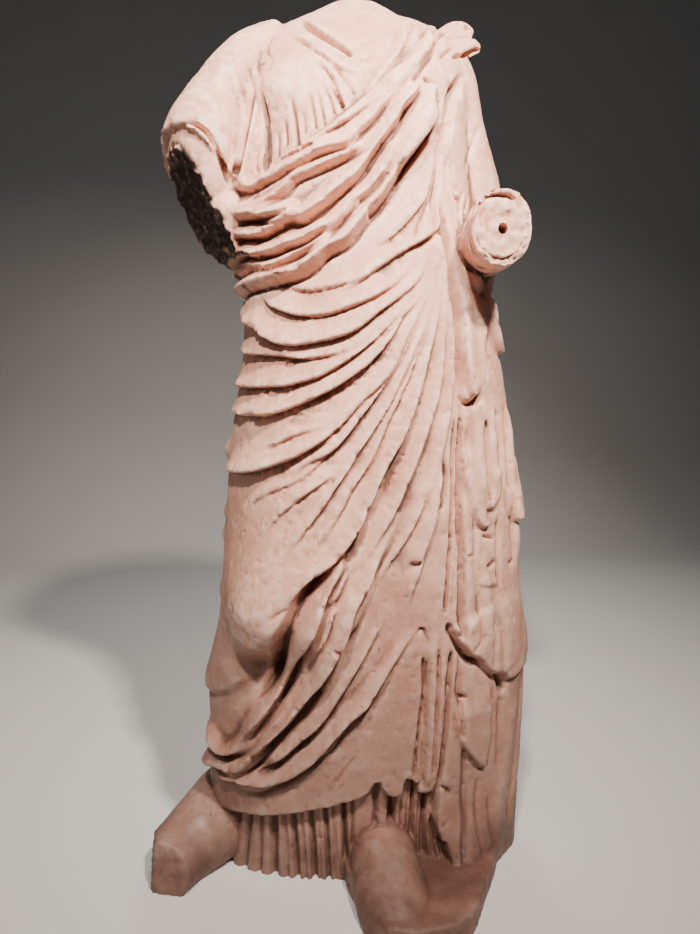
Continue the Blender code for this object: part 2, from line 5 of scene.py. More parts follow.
import bmesh
import bpy
import numpy as np
from math import radians
from mathutils import Matrix, Vector, noise


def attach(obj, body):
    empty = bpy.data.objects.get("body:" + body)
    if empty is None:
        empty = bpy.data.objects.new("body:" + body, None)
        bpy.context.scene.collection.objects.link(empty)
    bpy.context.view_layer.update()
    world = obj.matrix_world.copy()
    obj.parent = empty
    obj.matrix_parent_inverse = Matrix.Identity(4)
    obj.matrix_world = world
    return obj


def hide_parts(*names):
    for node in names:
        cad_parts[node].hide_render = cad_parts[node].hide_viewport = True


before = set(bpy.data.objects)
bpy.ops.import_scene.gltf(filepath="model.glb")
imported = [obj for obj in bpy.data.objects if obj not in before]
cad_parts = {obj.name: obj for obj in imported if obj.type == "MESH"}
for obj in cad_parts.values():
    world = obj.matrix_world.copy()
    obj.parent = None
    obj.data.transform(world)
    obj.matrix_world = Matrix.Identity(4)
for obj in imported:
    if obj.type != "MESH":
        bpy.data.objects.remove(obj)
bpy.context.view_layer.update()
print("frame loaded")

# The figure: sections of its body round an upright axis, and the forms under its cloth
figure = {
    "centre": (-0.018, -0.0545),   # brought to the origin once it is carved
    "axis": 0.02,
    "square": 2.2,                 # 2 would make each section an ellipse
    "girth": 0.19,                 # mean radius, which turns degrees into metres
    "angleStep": 0.5,
    "heightStep": 0.002,
    "cells": (720, 760),           # of the body's mesh, round and up
    "voxel": 0.0022,
    "soften": 0.5,
    "triangles": 206000,           # before the ground is cut away
    "sharpAngle": 58,
    "sections": (                  # height, then reach to left, right, front and back
        (0.00, -0.243, 0.296, -0.135, 0.125),
        (0.10, -0.243, 0.300, -0.140, 0.130),
        (0.20, -0.240, 0.302, -0.150, 0.135),
        (0.32, -0.230, 0.303, -0.160, 0.140),
        (0.45, -0.216, 0.293, -0.165, 0.142),
        (0.60, -0.208, 0.283, -0.165, 0.150),
        (0.75, -0.195, 0.268, -0.165, 0.158),
        (0.88, -0.176, 0.248, -0.160, 0.155),
        (1.00, -0.172, 0.225, -0.150, 0.135),
        (1.12, -0.185, 0.200, -0.145, 0.128),
        (1.25, -0.190, 0.190, -0.138, 0.132),
        (1.36, -0.185, 0.190, -0.100, 0.125),
        (1.42, -0.145, 0.160, -0.062, 0.100),
        (1.455, -0.080, 0.100, -0.040, 0.075),
        (1.482, -0.030, 0.050, -0.022, 0.040),
    ),
    "swells": (                    # angle, height, half width in degrees, half height, push
        (-42, 0.47, 26, 0.10, 0.045),     # right knee, bent forward
        (-38, 0.62, 24, 0.14, 0.020),     # right thigh
        (-52, 1.295, 17, 0.050, 0.024),   # breasts
        (16, 1.295, 18, 0.050, 0.016),
        (0, 0.95, 40, 0.10, 0.012),       # belly
        (150, 0.82, 30, 0.09, 0.020),     # seat
        (-150, 0.82, 30, 0.09, 0.020),
        (-92, 0.722, 8, 0.014, 0.012),    # worn fold ends on the right side
        (-92, 0.615, 7, 0.008, 0.006),
        (-92, 0.575, 7, 0.008, 0.006),
        (-90, 0.475, 6, 0.012, 0.006),
    ),
}


def smooth(x):
    x = np.clip(x, 0, 1)
    return x * x * (3 - 2 * x)


def alongCurve(points, count):
    # evenly numbered points of a smooth curve through the given ones
    p = np.array(points, float)
    t = np.linspace(0, len(p) - 1, count)
    i = np.minimum(t.astype(int), len(p) - 2)
    u = (t - i)[:, None]
    a, b, c, d = p[np.maximum(i - 1, 0)], p[i], p[i + 1], p[np.minimum(i + 2, len(p) - 1)]
    return 0.5 * (2 * b + (c - a) * u + (2 * a - 5 * b + 4 * c - d) * u**2 + (3 * b - a - 3 * c + d) * u**3)


def between(table, x):
    # every column of a table whose first column rises, at x, with smooth slopes
    rows = np.array(table, float)
    at, values = rows[:, 0], rows[:, 1:]
    slopes = np.gradient(values, at, axis=0)
    i = np.clip(np.searchsorted(at, x) - 1, 0, len(at) - 2)
    step = (at[i + 1] - at[i])[..., None]
    t = (np.asarray(x)[..., None] - at[i][..., None]) / step
    start = (2 * t**3 - 3 * t**2 + 1) * values[i] + (t**3 - 2 * t**2 + t) * step * slopes[i]
    end = (3 * t**2 - 2 * t**3) * values[i + 1] + (t**3 - t**2) * step * slopes[i + 1]
    return np.moveaxis(start + end, -1, 0)


def bodyPoint(angle, height):
    sections = figure["sections"]
    left, right, front, back = between(sections, np.clip(height, sections[0][0], sections[-1][0]))
    s, c = np.sin(np.radians(angle)), np.cos(np.radians(angle))
    across = np.where(s > 0, right - figure["axis"], figure["axis"] - left)
    deep = np.where(c > 0, -front, back)
    n = figure["square"]
    radius = ((np.abs(s) / across) ** n + (np.abs(c) / deep) ** n) ** (-1 / n)
    for middle, level, width, tall, push in figure["swells"]:
        off = (angle - middle + 180) % 360 - 180
        radius = radius + push * np.exp(-(off / width) ** 2 - ((height - level) / tall) ** 2)
    return np.stack([figure["axis"] + radius * s, -radius * c, height + 0 * radius], -1)


def newRelief(angles, heights, girth):
    # how far the carving stands out of a form, and hangs over sideways and
    # downward, on a map of angle by height
    shape = (len(heights), len(angles))
    relief = {"angles": angles, "heights": heights, "degree": radians(girth), "hang": np.zeros(shape + (2,)),
              "dice": np.random.RandomState(7)}
    for layer in ("form", "folds", "cuts"):
        relief[layer] = np.zeros(shape)
    return relief


def near(relief, line, reach):
    # the part of the map near a line: signed distance (above is positive), place along the
    # line from 0 to 1, and the direction square to it toward its lower side
    degree = relief["degree"]
    ends = line * (degree, 1)
    low, high = ends.min(0) - reach, ends.max(0) + reach
    columns = slice(*np.searchsorted(relief["angles"] * degree, (low[0], high[0])))
    rows = slice(*np.searchsorted(relief["heights"], (low[1], high[1])))
    x, z = relief["angles"][columns] * degree, relief["heights"][rows]
    best = np.full((len(z), len(x)), 1e9)
    place, side = np.zeros(best.shape), np.ones(best.shape)
    for i, (start, end) in enumerate(zip(ends[:-1], ends[1:])):
        low, high = np.minimum(start, end) - reach, np.maximum(start, end) + reach
        c = slice(*np.searchsorted(x, (low[0], high[0])))
        r = slice(*np.searchsorted(z, (low[1], high[1])))
        dx, dz = end - start
        gx, gz = np.meshgrid(x[c], z[r])
        t = np.clip(((gx - start[0]) * dx + (gz - start[1]) * dz) / (dx * dx + dz * dz + 1e-12), 0, 1)
        ex, ez = gx - start[0] - t * dx, gz - start[1] - t * dz
        distance = np.hypot(ex, ez)
        closer = distance < best[r, c]
        best[r, c] = np.where(closer, distance, best[r, c])
        place[r, c] = np.where(closer, (i + t) / (len(ends) - 1), place[r, c])
        side[r, c] = np.where(closer, np.sign(dx * ez - dz * ex), side[r, c])
    run = np.gradient(ends, axis=0)
    run /= np.linalg.norm(run, axis=1)[:, None] + 1e-12
    ways = np.linspace(0, 1, len(ends))
    under = np.stack([np.interp(place, ways, run[:, 1]), -np.interp(place, ways, run[:, 0])], -1)
    return rows, columns, best * side, place, under


def turnsOf(relief, line):
    # a line that runs over the middle of the back is drawn on both edges of the map
    low, high = relief["angles"][0], relief["angles"][-1]
    least, most = line[:, 0].min(), line[:, 0].max()
    return [turn for turn in (-360, 0, 360) if least + turn < high and most + turn > low]


def growthOf(place, fade):
    # rises from 0 at the start of a line and falls back to 0 at its end
    return smooth(place / fade[0]) * smooth((1 - place) / fade[1])


chisel = {
    "wave": 0.0008,               # how far a fold's line wavers
    "crispWave": 0.0013,
    "chips": 13,                  # for each metre of a crest
    "chip": 0.016,                # half length of the longest
    "groove": 0.0045,             # half width of the groove along a fold's foot
}


def addFold(relief, points, lift, above, below=0.005, hang=0.55, fade=(0.10, 0.30), groove=0.4, worn=1.0,
            sharp=2.2, crisp=False, spread=1.0):
    # one fold: a crest just above its foot, a long hollow slope above it and a steep one
    # below, with a groove along the foot. The crest is chipped here and there. A crisp fold
    # is placed by its crest, a broken edge over a hollow face. Its slope may spread along it
    line = alongCurve(points, 10 * len(points))
    dice = relief["dice"]
    length = np.hypot(*(np.diff(line, axis=0) * (relief["degree"], 1)).T).sum()
    wave = np.cumsum(dice.normal(0, 1, len(line)))
    wave = np.convolve(wave - wave.mean(), np.ones(9) / 9, "same")
    line = line + np.stack([0 * wave, chisel["crispWave" if crisp else "wave"] * np.tanh(wave / 2)], -1)
    chips = [(dice.uniform(0.05, 0.95), dice.uniform(0.08, 1) ** 2 * chisel["chip"] / length,
              dice.uniform(0.08, 0.34)) for _ in range(int(length * chisel["chips"] * worn))]
    swing = dice.uniform(0, 6.3, 2)
    offset, steep = (0, 1.5) if crisp else (below, 2)
    span = above * max(spread, 1) + 2 * below
    for turn in turnsOf(relief, line):
        rows, columns, distance, place, under = near(relief, line + (turn, 0), span)
        way = place * length
        ripple = 1 + 0.07 * np.sin(way * 17 + swing[0]) + 0.05 * np.sin(way * 41 + swing[1])
        grow = growthOf(place, fade) * ripple
        crest = distance - offset
        wide = above * (1 + (spread - 1) * place)
        reach = np.where(crest > 0, wide * (0.5 + 0.5 * grow), below)
        t = np.clip(np.abs(crest) / reach, 0, 1)
        tail = 1 / (1 + sharp ** 2)
        slope = (1 / (1 + (sharp * t) ** 2) - tail) / (1 - tail)
        face = (1 - t) ** steep if crisp else 1 - t ** steep
        height = lift * grow * np.where(crest > 0, slope, face)
        broken = np.zeros(place.shape)
        for at, half, deep in chips:
            broken = np.maximum(broken, deep * (1 - smooth(np.abs(place - at) / half - 0.2)))
        height = np.minimum(height, lift * grow * (1 - broken))
        taller = height > relief["folds"][rows, columns]
        relief["folds"][rows, columns][taller] = height[taller]
        relief["hang"][rows, columns][taller] = (under * (hang * height)[..., None])[taller]
        if groove:
            edge = 1 - np.clip(np.abs(distance + below - offset) / chisel["groove"], 0, 1) ** 1.5
            sunk = -groove * lift * np.minimum(grow, 1) * edge
            relief["cuts"][rows, columns] = np.minimum(relief["cuts"][rows, columns], sunk)


def addCut(relief, points, depth, width, fade=(0.18, 0.18), narrow=0.4):
    # a groove that narrows to nothing at both ends
    line = alongCurve(points, 10 * len(points))
    for turn in turnsOf(relief, line):
        rows, columns, distance, place, under = near(relief, line + (turn, 0), width)
        grow = growthOf(place, fade)
        shape = 1 - np.clip(np.abs(distance) / (width * (narrow + (1 - narrow) * grow)), 0, 1) ** 1.5
        relief["cuts"][rows, columns] = np.minimum(relief["cuts"][rows, columns], -depth * grow * shape)


def addRib(relief, points, lift, width, fade=(0.2, 0.2)):
    # a rounded rib, the same on both its sides
    line = alongCurve(points, 10 * len(points))
    for turn in turnsOf(relief, line):
        rows, columns, distance, place, under = near(relief, line + (turn, 0), width)
        shape = np.cos(np.clip(np.abs(distance) / width, 0, 1) * np.pi / 2) ** 2
        relief["form"][rows, columns] += lift * growthOf(place, fade) * shape


def addSwell(relief, middle, level, width, tall, push):
    # a round swelling, or a hollow where the push is below zero
    off = (relief["angles"] - middle + 180) % 360 - 180
    tallness = np.exp(-((relief["heights"] - level) / tall) ** 2)
    relief["form"] += push * np.outer(tallness, np.exp(-(off / width) ** 2))


def sample(relief, field, angle, height):
    # the map's value at any angle and height, between its cells
    x = (angle - relief["angles"][0]) / (relief["angles"][1] - relief["angles"][0])
    z = np.clip(height - relief["heights"][0], 0, None) / (relief["heights"][1] - relief["heights"][0])
    i = np.clip(x.astype(int), 0, len(relief["angles"]) - 2)
    j = np.clip(z.astype(int), 0, len(relief["heights"]) - 2)
    u, v = np.clip(x - i, 0, 1), np.clip(z - j, 0, 1)
    if field.ndim > 2:
        u, v = u[:, None], v[:, None]
    low = field[j, i] * (1 - u) + field[j, i + 1] * u
    high = field[j + 1, i] * (1 - u) + field[j + 1, i + 1] * u
    return low * (1 - v) + high * v


# The drapery, area by area, in millimetres. A line runs through points, each an angle from
# the front in degrees and a height, and the side above it is the one on the left of its run:
#   folds: lift, slope above, line of the foot
#   crests, which are broken edges: lift, slope above, face below, line of the edge
#   cuts: depth, half width, line
#   ribs: lift, half width, line
#   swells: angle, height, half width in degrees, half height, push
# Looks and fades that come last in a row are that row's own
hips = {                          # catenaries across the belly and the right hip, gathered at the left one
    "foldLook": {"fade": (0.26, 0.45)},
    "folds": (                    # these reach the right side
        (19, 45, ((-104, 985), (-88, 955), (-60, 915), (-45, 895), (-31, 895), (-13, 910), (1, 940),
         (16, 970), (26, 1000), (33, 1050))),
        (13, 26, ((-102, 910), (-78, 885), (-53, 875), (-34, 870), (-18, 880), (-5, 905), (6, 935),
         (18, 975))),
        (17, 40, ((-104, 840), (-88, 830), (-58, 825), (-40, 830), (-24, 850), (-6, 890), (6, 920), (17, 955),
         (28, 1010))),
        (18, 38, ((-104, 790), (-88, 785), (-58, 780), (-43, 790), (-27, 815), (-13, 845), (1, 880),
         (13, 930), (23, 960), (33, 1020))),
        (20, 42, ((-104, 690), (-87, 685), (-63, 690), (-49, 700), (-36, 720), (-23, 755), (-10, 800),
         (5, 845), (15, 900), (25, 950), (33, 1000))),
    ),
}
thigh = {                         # these run out over the thigh, with rounded chipped crests
    "foldLook": {"fade": (0.30, 0.40)},
    "folds": (
        (14, 30, ((-64, 975), (-58, 960), (-48, 945), (-36, 935), (-24, 935), (-6, 955), (8, 975), (18, 1000),
         (26, 1030))),
        (8, 22, ((-50, 982), (-35, 970), (-21, 975), (-6, 990), (8, 1015))),
        (10, 20, ((-62, 712), (-48, 730), (-37, 750), (-23, 770), (-10, 810), (4, 865))),
        (14, 26, ((-44, 660), (-33, 700), (-21, 730), (-10, 775), (1, 820), (12, 870), (21, 920), (29, 970))),
        (6, 20, ((-64, 620), (-46, 660), (-34, 680), (-26, 710), (-12, 750))),
        (9, 22, ((-50, 580), (-39, 635), (-30, 665), (-21, 690), (-8, 740))),
        (13, 24, ((-42, 530), (-35, 580), (-28, 625), (-21, 670), (-10, 725), (1, 775), (12, 835), (21, 890),
         (27, 930), (33, 980))),
        (12, 22, ((-34, 540), (-22, 610), (-13, 670), (-3, 715), (7, 780), (17, 845), (26, 910), (33, 970))),
        (21, 34, ((-36, 480), (-33, 505), (-29, 530), (-24, 548), (-17, 583), (-10, 625), (1, 695), (12, 755),
         (21, 820), (28, 885), (34, 940), (38, 1000))),
        (13, 26, ((-12, 530), (-6, 555), (9, 630), (19, 700), (26, 765), (33, 830), (37, 910), (40, 980))),
        (11, 28, ((-4, 505), (9, 555), (21, 620), (30, 690), (35, 745), (40, 810), (42, 880))),
    ),
}
cowl = {                          # the gown under the neck, with a long slot and looped folds beside it
    "foldLook": {"fade": (0.25, 0.35)},
    "folds": (
        (7, 22, ((-70, 1430), (-50, 1400), (-32, 1375), (-14, 1352))),
        (5, 18, ((-67, 1410), (-57, 1385), (-46, 1365), (-30, 1335), (-16, 1315), (-6, 1315), (5, 1330))),
        (5, 14, ((-41, 1340), (-28, 1310), (-21, 1275), (-17, 1250))),
    ),
    "cuts": (
        (28, 6.2, ((-72, 1437), (-50, 1400), (-32, 1375), (-15, 1350)), (0.35, 0.04), 0.3),
        (7, 4, ((-67, 1410), (-57, 1385), (-46, 1365), (-30, 1335), (-19, 1305), (-11, 1275)), (0.4, 0.06)),
        (5, 4, ((-30, 1335), (-16, 1315), (-7, 1315), (2, 1326)), (0.1, 0.4)),
        (7, 6, ((-41, 1340), (-28, 1310), (-21, 1275), (-18, 1250)), (0.4, 0.1)),
        (4, 5, ((-13, 1365), (-1, 1380), (12, 1390)), (0.3, 0.5)),
        (4, 5, ((-12, 1345), (-4, 1342), (6, 1355)), (0.2, 0.5)),
    ),
}
roll = {                          # the thick roll from under the right arm to the left shoulder
    "crestLook": {"hang": 0.15, "fade": (0.02, 0.10), "sharp": 1.2},
    "crests": (
        (26, 18, 16, ((-98, 998), (-61, 998), (-48, 998), (-36, 1008), (-26, 1035), (-16, 1052), (-8, 1080),
         (2, 1110), (10, 1140), (16, 1173), (21, 1192), (28, 1220), (34, 1245), (40, 1270)), {"spread": 2.5}),
        (19, 14, 10, ((-98, 1026), (-68, 1022), (-52, 1018), (-38, 1032), (-28, 1050), (-22, 1070),
         (-14, 1095), (-7, 1112))),
        (22, 16, 10, ((-98, 1052), (-72, 1048), (-63, 1040), (-52, 1040), (-46, 1045), (-38, 1050),
         (-32, 1060), (-22, 1074), (-14, 1102), (-4, 1127), (1, 1145), (6, 1165), (10, 1195), (17, 1228)),
         {"spread": 1.5}),
        (20, 24, 10, ((-98, 1095), (-88, 1092), (-63, 1070), (-52, 1077), (-46, 1085), (-41, 1090))),
        (25, 24, 14, ((-98, 1113), (-84, 1111), (-66, 1103), (-55, 1097), (-47, 1094), (-39, 1088),
         (-34, 1096), (-30, 1105), (-23, 1120), (-17, 1135), (-11, 1150), (-4, 1177), (2, 1198), (10, 1228),
         (14, 1252), (21, 1276), (27, 1292)), {"spread": 1.2}),
        (16, 14, 12, ((-98, 1140), (-82, 1130), (-63, 1115), (-51, 1127), (-46, 1140), (-40, 1153),
         (-30, 1163), (-24, 1170), (-17, 1177), (-12, 1185), (-5, 1197))),
        (12, 12, 10, ((-98, 1172), (-84, 1163), (-66, 1148), (-58, 1153), (-49, 1163), (-42, 1170),
         (-35, 1180), (-26, 1194))),
        (16, 26, 9, ((-34, 1184), (-26, 1190), (-17, 1196), (-8, 1215), (2, 1240), (10, 1262), (16, 1285),
         (28, 1317), (44, 1355), (66, 1420)), {"spread": 1.2}),
    ),
    "ribs": (                     # its lowest fold is a tube with a blunt end below the left shoulder
        (12, 22, ((-4, 1130), (8, 1165), (18, 1207), (26, 1247), (34, 1280), (39, 1292)), (0.5, 0.04)),
    ),
    "cutFade": (0.06, 0.12),
    "cuts": (
        (16, 5, ((-70, 1092), (-57, 1092), (-50, 1093), (-44, 1099))),
        (8, 4, ((-92, 1080), (-70, 1067), (-56, 1067), (-46, 1075), (-38, 1080))),
        (10, 5, ((-46, 1076), (-40, 1077), (-30, 1093), (-20, 1113), (-8, 1143), (-2, 1170), (6, 1202),
         (14, 1234))),
        (10, 6, ((-12, 1205), (-2, 1222), (6, 1248), (14, 1275), (24, 1310), (45, 1352))),
        (24, 13, ((-6, 1083), (2, 1100), (9, 1128), (16, 1157), (24, 1184), (30, 1204), (35, 1222),
         (41, 1248))),
        (14, 7, ((40, 1262), (42, 1276), (42.5, 1292), (38, 1302), (31, 1300))),
        (12, 6, ((42, 1235), (38.5, 1205), (39, 1180), (38, 1150), (35.5, 1117), (36, 1087), (37, 1062))),
        (5, 5, ((40, 1198), (39, 1175), (37, 1150), (33, 1117), (26, 1080), (18, 1048))),
    ),
    "swells": (
        (-84, 1100, 14, 50, 14),
    ),
}
shoulder = {                      # softer folds above the roll
    "foldLook": {"fade": (0.20, 0.22)},
    "folds": (
        (12, 20, ((-60, 1165), (-40, 1190), (-14, 1232), (11, 1275), (22, 1315), (41, 1370), (72, 1445))),
        (8, 16, ((-8, 1260), (11, 1320), (28, 1365), (58, 1435))),
    ),
}
knee = {                          # long ribs from the left hip, round the right ankle, and the knee over them
    "crestLook": {"hang": 0.15, "fade": (0.12, 0.25), "sharp": 1.4},
    "crests": (                   # the last two are the lip of the knee and a flap of cloth beside its hollow
        (26, 18, 10, ((-90, 243), (-80, 237), (-72, 222), (-66, 230), (-61, 250), (-56, 285), (-50, 320),
         (-42, 370), (-34, 417), (-30, 445), (-27, 475), (-25, 502), (-21, 530), (-16, 560), (-10, 590))),
        (17, 10, 6, ((-68, 220), (-62, 236), (-58, 253), (-52, 280), (-46, 310), (-41, 343), (-36, 372),
         (-32, 400), (-28, 425), (-25, 448), (-22, 480), (-18, 515), (-13, 548))),
        (26, 30, 12, ((-92, 176), (-84, 180), (-74, 193), (-66, 196), (-60, 217), (-52, 260), (-42, 305),
         (-34, 347), (-28, 378), (-22, 420), (-18, 448), (-14, 487), (-7, 522), (0, 560), (9, 605),
         (16, 645))),
        (15, 22, 8, ((-54, 210), (-49, 228), (-44, 247), (-38, 268), (-32, 285), (-26, 310), (-20, 342),
         (-14, 375), (-2, 435), (6, 475))),
        (20, 26, 8, ((-80, 170), (-73, 175), (-66, 182), (-55, 185), (-50, 193), (-43, 207), (-36, 225),
         (-30, 245), (-22, 273), (-14, 303), (-8, 320), (-4, 333), (6, 375), (17, 422), (25, 446))),
        (9, 30, 16, ((-62, 460), (-58, 440), (-52, 424), (-46, 426), (-41, 436), (-37, 452), (-33, 478)),
         {"hang": 0.1, "fade": (0.35, 0.25), "groove": 0, "worn": 0.1, "sharp": 1.0}),
        (7, 60, 10, ((-96, 300), (-88, 302), (-78, 312), (-70, 328), (-64, 347), (-58, 370)),
         {"hang": 0.1, "fade": (0.05, 0.25), "worn": 0.5, "sharp": 1.2}),
    ),
    "cutFade": (0.25, 0.15),
    "cuts": (
        (18, 7, ((-13, 555), (-18, 505), (-24, 480), (-27, 453), (-33, 405), (-40, 360), (-51, 303),
         (-60, 256), (-68, 217))),
        (30, 13, ((-17, 580), (-22, 553), (-26, 530), (-30, 503), (-33, 475), (-37, 445), (-41, 415),
         (-46, 380), (-51, 350), (-57, 315))),
        (6, 3, ((-18, 485), (-22, 455), (-30, 403), (-40, 345), (-52, 285), (-58, 255))),
        (18, 8, ((-4, 492), (-10, 450), (-16, 420), (-21, 395), (-28, 347), (-36, 310), (-45, 276),
         (-56, 232), (-62, 208))),
        (12, 6, ((-16, 338), (-22, 312), (-28, 290), (-35, 263), (-42, 240), (-48, 220), (-54, 203),
         (-60, 193))),
        (10, 4.5, ((19, 407), (8, 357), (-2, 315), (-14, 282), (-22, 247), (-29, 228), (-38, 205), (-44, 188),
         (-52, 170), (-58, 157), (-70, 156))),
        (3, 3, ((-7, 245), (-14, 220), (-23, 185), (-27, 166))),
        (7, 3.5, ((-34, 490), (-37, 483), (-41, 470)), (0.18, 0.18)),
    ),
    "swells": (
        (-48, 465, 15, 45, 16),
        (-50, 372, 13, 36, -32),
        (-37, 415, 8, 35, -20),
        (-92, 330, 16, 75, 13),
    ),
}
cascade = {                       # falls from the left forearm to the ground, behind a deep channel
    "crestLook": {"hang": 0.1, "fade": (0.10, 0.10), "sharp": 1.0},
    "crests": (
        (11, 50, 6, ((45, 990), (46.5, 965), (46.5, 930), (47, 892), (48, 860), (48.5, 830), (50.5, 811),
         (54, 828), (57, 843), (57, 870), (57.5, 895), (60, 920), (61, 950), (60, 978))),
        (6, 40, 5, ((60, 887), (63, 920), (68, 973))),
        (12, 50, 6, ((69, 985), (71, 925), (74, 890), (80, 895), (86, 945))),
        (8, 50, 6, ((44.5, 740), (45, 695), (47, 667), (49, 645), (50, 625), (52, 607), (55, 598),
         (58, 606))),
        (6, 40, 6, ((56, 645), (57.5, 628), (60, 634), (63, 655), (65, 700))),
        (10, 60, 6, ((68, 660), (71, 610), (76, 600), (82, 640), (90, 700))),
        (4, 20, 4, ((52, 504), (56, 500), (61, 500))),
        (14, 90, 8, ((39, 440), (41, 427), (44, 410), (48, 393), (51, 388), (54, 378), (56, 366), (60, 350),
         (63, 336))),
        (9, 60, 6, ((61, 485), (62, 455), (63.5, 430), (64, 400), (64, 375), (64.5, 345), (67, 334),
         (72, 340), (78, 355), (86, 400), (94, 500))),
        (9, 50, 6, ((44, 310), (45.5, 270), (47.5, 245), (50, 225), (54, 203), (57.5, 187), (58.5, 215),
         (58, 270), (57, 340))),
    ),
    "ribs": (
        (4, 10, ((47.5, 580), (48, 500), (48, 420))),
        (4, 11, ((55, 560), (56, 480), (56, 400))),
        (3, 10, ((47.5, 860), (47, 800), (47, 740))),
        (4, 14, ((53.5, 780), (53.5, 700), (54, 650))),
        (4, 12, ((61.5, 800), (61.5, 720), (61, 660))),
        (6, 12, ((74, 800), (75, 680), (75, 520))),
        (5, 14, ((70, 300), (68, 160), (66, 20))),
        (7, 10, ((31, 440), (31.5, 320), (32, 220), (32.5, 160))),
        (4, 6, ((36.5, 420), (36, 320), (36, 240), (36.5, 170))),
    ),
    "cutFade": (0.15, 0.15),
    "cuts": (
        (40, 9, ((40, 1120), (42, 1070), (43.5, 1040), (44.5, 1000), (44.5, 960), (45, 920), (45, 880),
         (45, 840), (45.5, 800))),
        (20, 6, ((44.5, 820), (46, 803), (50, 798), (54, 806), (56.5, 826))),
        (14, 4, ((60, 860), (58, 842), (55, 822))),
        (32, 6, ((44, 800), (43.5, 710), (43.5, 645), (44, 580), (44, 512), (44, 448), (44, 410))),
        (22, 4.5, ((41, 790), (40, 710), (40, 640), (39, 580), (38, 532), (37, 482), (36, 455))),
        (7, 3, ((42, 645), (41.3, 580), (40.3, 515), (39.3, 453))),
        (6, 3, ((46.5, 760), (46.5, 690))),
        (14, 5, ((58, 775), (58, 708), (58, 635))),
        (10, 4.5, ((64, 790), (65.5, 738), (65.5, 650))),
        (10, 5.5, ((72, 800), (71, 710), (71, 620), (72, 520))),
        (8, 4, ((54, 583), (57, 578), (60, 575))),
        (7, 3.5, ((46.5, 552), (50.5, 552))),
        (9, 4, ((55.5, 533), (58, 530), (60.5, 540))),
        (8, 4, ((67.5, 527), (72.5, 530))),
        (6, 3.5, ((50, 635), (50.5, 580), (50, 520))),
        (8, 4, ((62, 610), (62, 550), (62, 487))),
        (6, 3.5, ((51.5, 490), (52, 450), (52, 410))),
        (20, 8, ((37, 447), (39.5, 432), (42, 415), (44.5, 398), (47, 383), (50, 376), (53, 376))),
        (6, 3, ((48, 393), (50, 405), (52, 412), (54, 424))),
        (18, 7, ((60, 352), (62.5, 335), (64.5, 308))),
        (6, 3, ((58, 440), (58.5, 405), (58, 362))),
        (16, 6, ((44, 370), (44, 330), (45, 318), (48, 314))),
        (14, 5, ((26, 400), (27, 338), (25.5, 253), (24.5, 172))),
        (8, 4, ((28.3, 405), (28.3, 323), (28.5, 220), (30, 155))),
        (10, 4, ((34, 410), (34, 338), (34, 287), (35.5, 165))),
        (20, 5, ((40, 405), (39.3, 347), (39.7, 280), (39, 210), (38, 147))),
        (12, 4.5, ((44, 395), (45, 312), (48, 242))),
        (10, 6, ((48, 242), (50, 185), (51, 133), (52, 95), (50, 43), (49, 10))),
        (9, 3, ((37, 168), (40, 163), (43, 156), (44.5, 143))),
        (5, 2.5, ((41.5, 91), (43.5, 96), (45, 106))),
        (5, 4, ((63, 310), (64, 223), (67, 128))),
        (4, 4, ((56.5, 170), (57, 100), (59, 10))),
        (4, 4, ((62, 130), (64, 60), (66, 10))),
        (8, 6, ((76, 340), (75, 200), (73, 40))),
    ),
    "swells": (
        (76, 520, 12, 600, 8),
        (50, 0, 14, 70, 45),
    ),
}
shins = {                         # long straight folds beside the left leg, and a turned edge over its shin
    "foldLook": {"fade": (0.25, 0.35)},
    "folds": (
        (16, 42, ((15, 540), (21, 549), (25, 572), (28, 605), (31, 660), (34, 730), (37, 820))),
        (8, 24, ((18, 480), (21, 515), (25, 552), (29, 598), (33, 650), (36, 720))),
        (12, 30, ((-19, 960), (-5, 990), (11, 1025), (28, 1055), (42, 1078))),
        (8, 55, ((-2, 1030), (10, 1055), (22, 1090), (31, 1125), (38, 1180))),
    ),
    "cuts": (
        (14, 7, ((8, 1020), (28, 1052), (41, 1076)), (0.6, 0.03)),
        (20, 6, ((35, 720), (36, 677), (35, 655), (34, 630)), (0.3, 0.1)),
        (12, 5, ((17.5, 550), (22.5, 550)), (0.2, 0.2)),
        (10, 4, ((21, 430), (25, 440), (27, 428), (29, 405)), (0.3, 0.3)),
        (20, 12, ((0, 665), (-7, 625), (-12, 580), (-18, 545)), (0.3, 0.3)),
    ),
}
back = {                          # plainer: the front's folds go on round it, up to the left shoulder
    "starts": (140, 260, 380, 480, 580, 680, 780, 870, 940, 1030),      # heights at the right side
    "rise": (120, 0.30),          # of a fold from the ground, and how much more for its height at the start
    "path": ((-252, 1.05), (-220, 0.75), (-180, 0.40), (-135, 0.12), (-96, 0)),     # angle, share of the rise
    "fold": (14, 55),             # lift, slope above
    "foldLook": {"fade": (0.3, 0.2), "worn": 0.4},
    "pleats": (84, 92, 100, 108),         # angles of upright grooves behind the cascade
    "pleat": (12, 14),            # depth, half width
    "pleatFade": (0.1, 0.05),
}
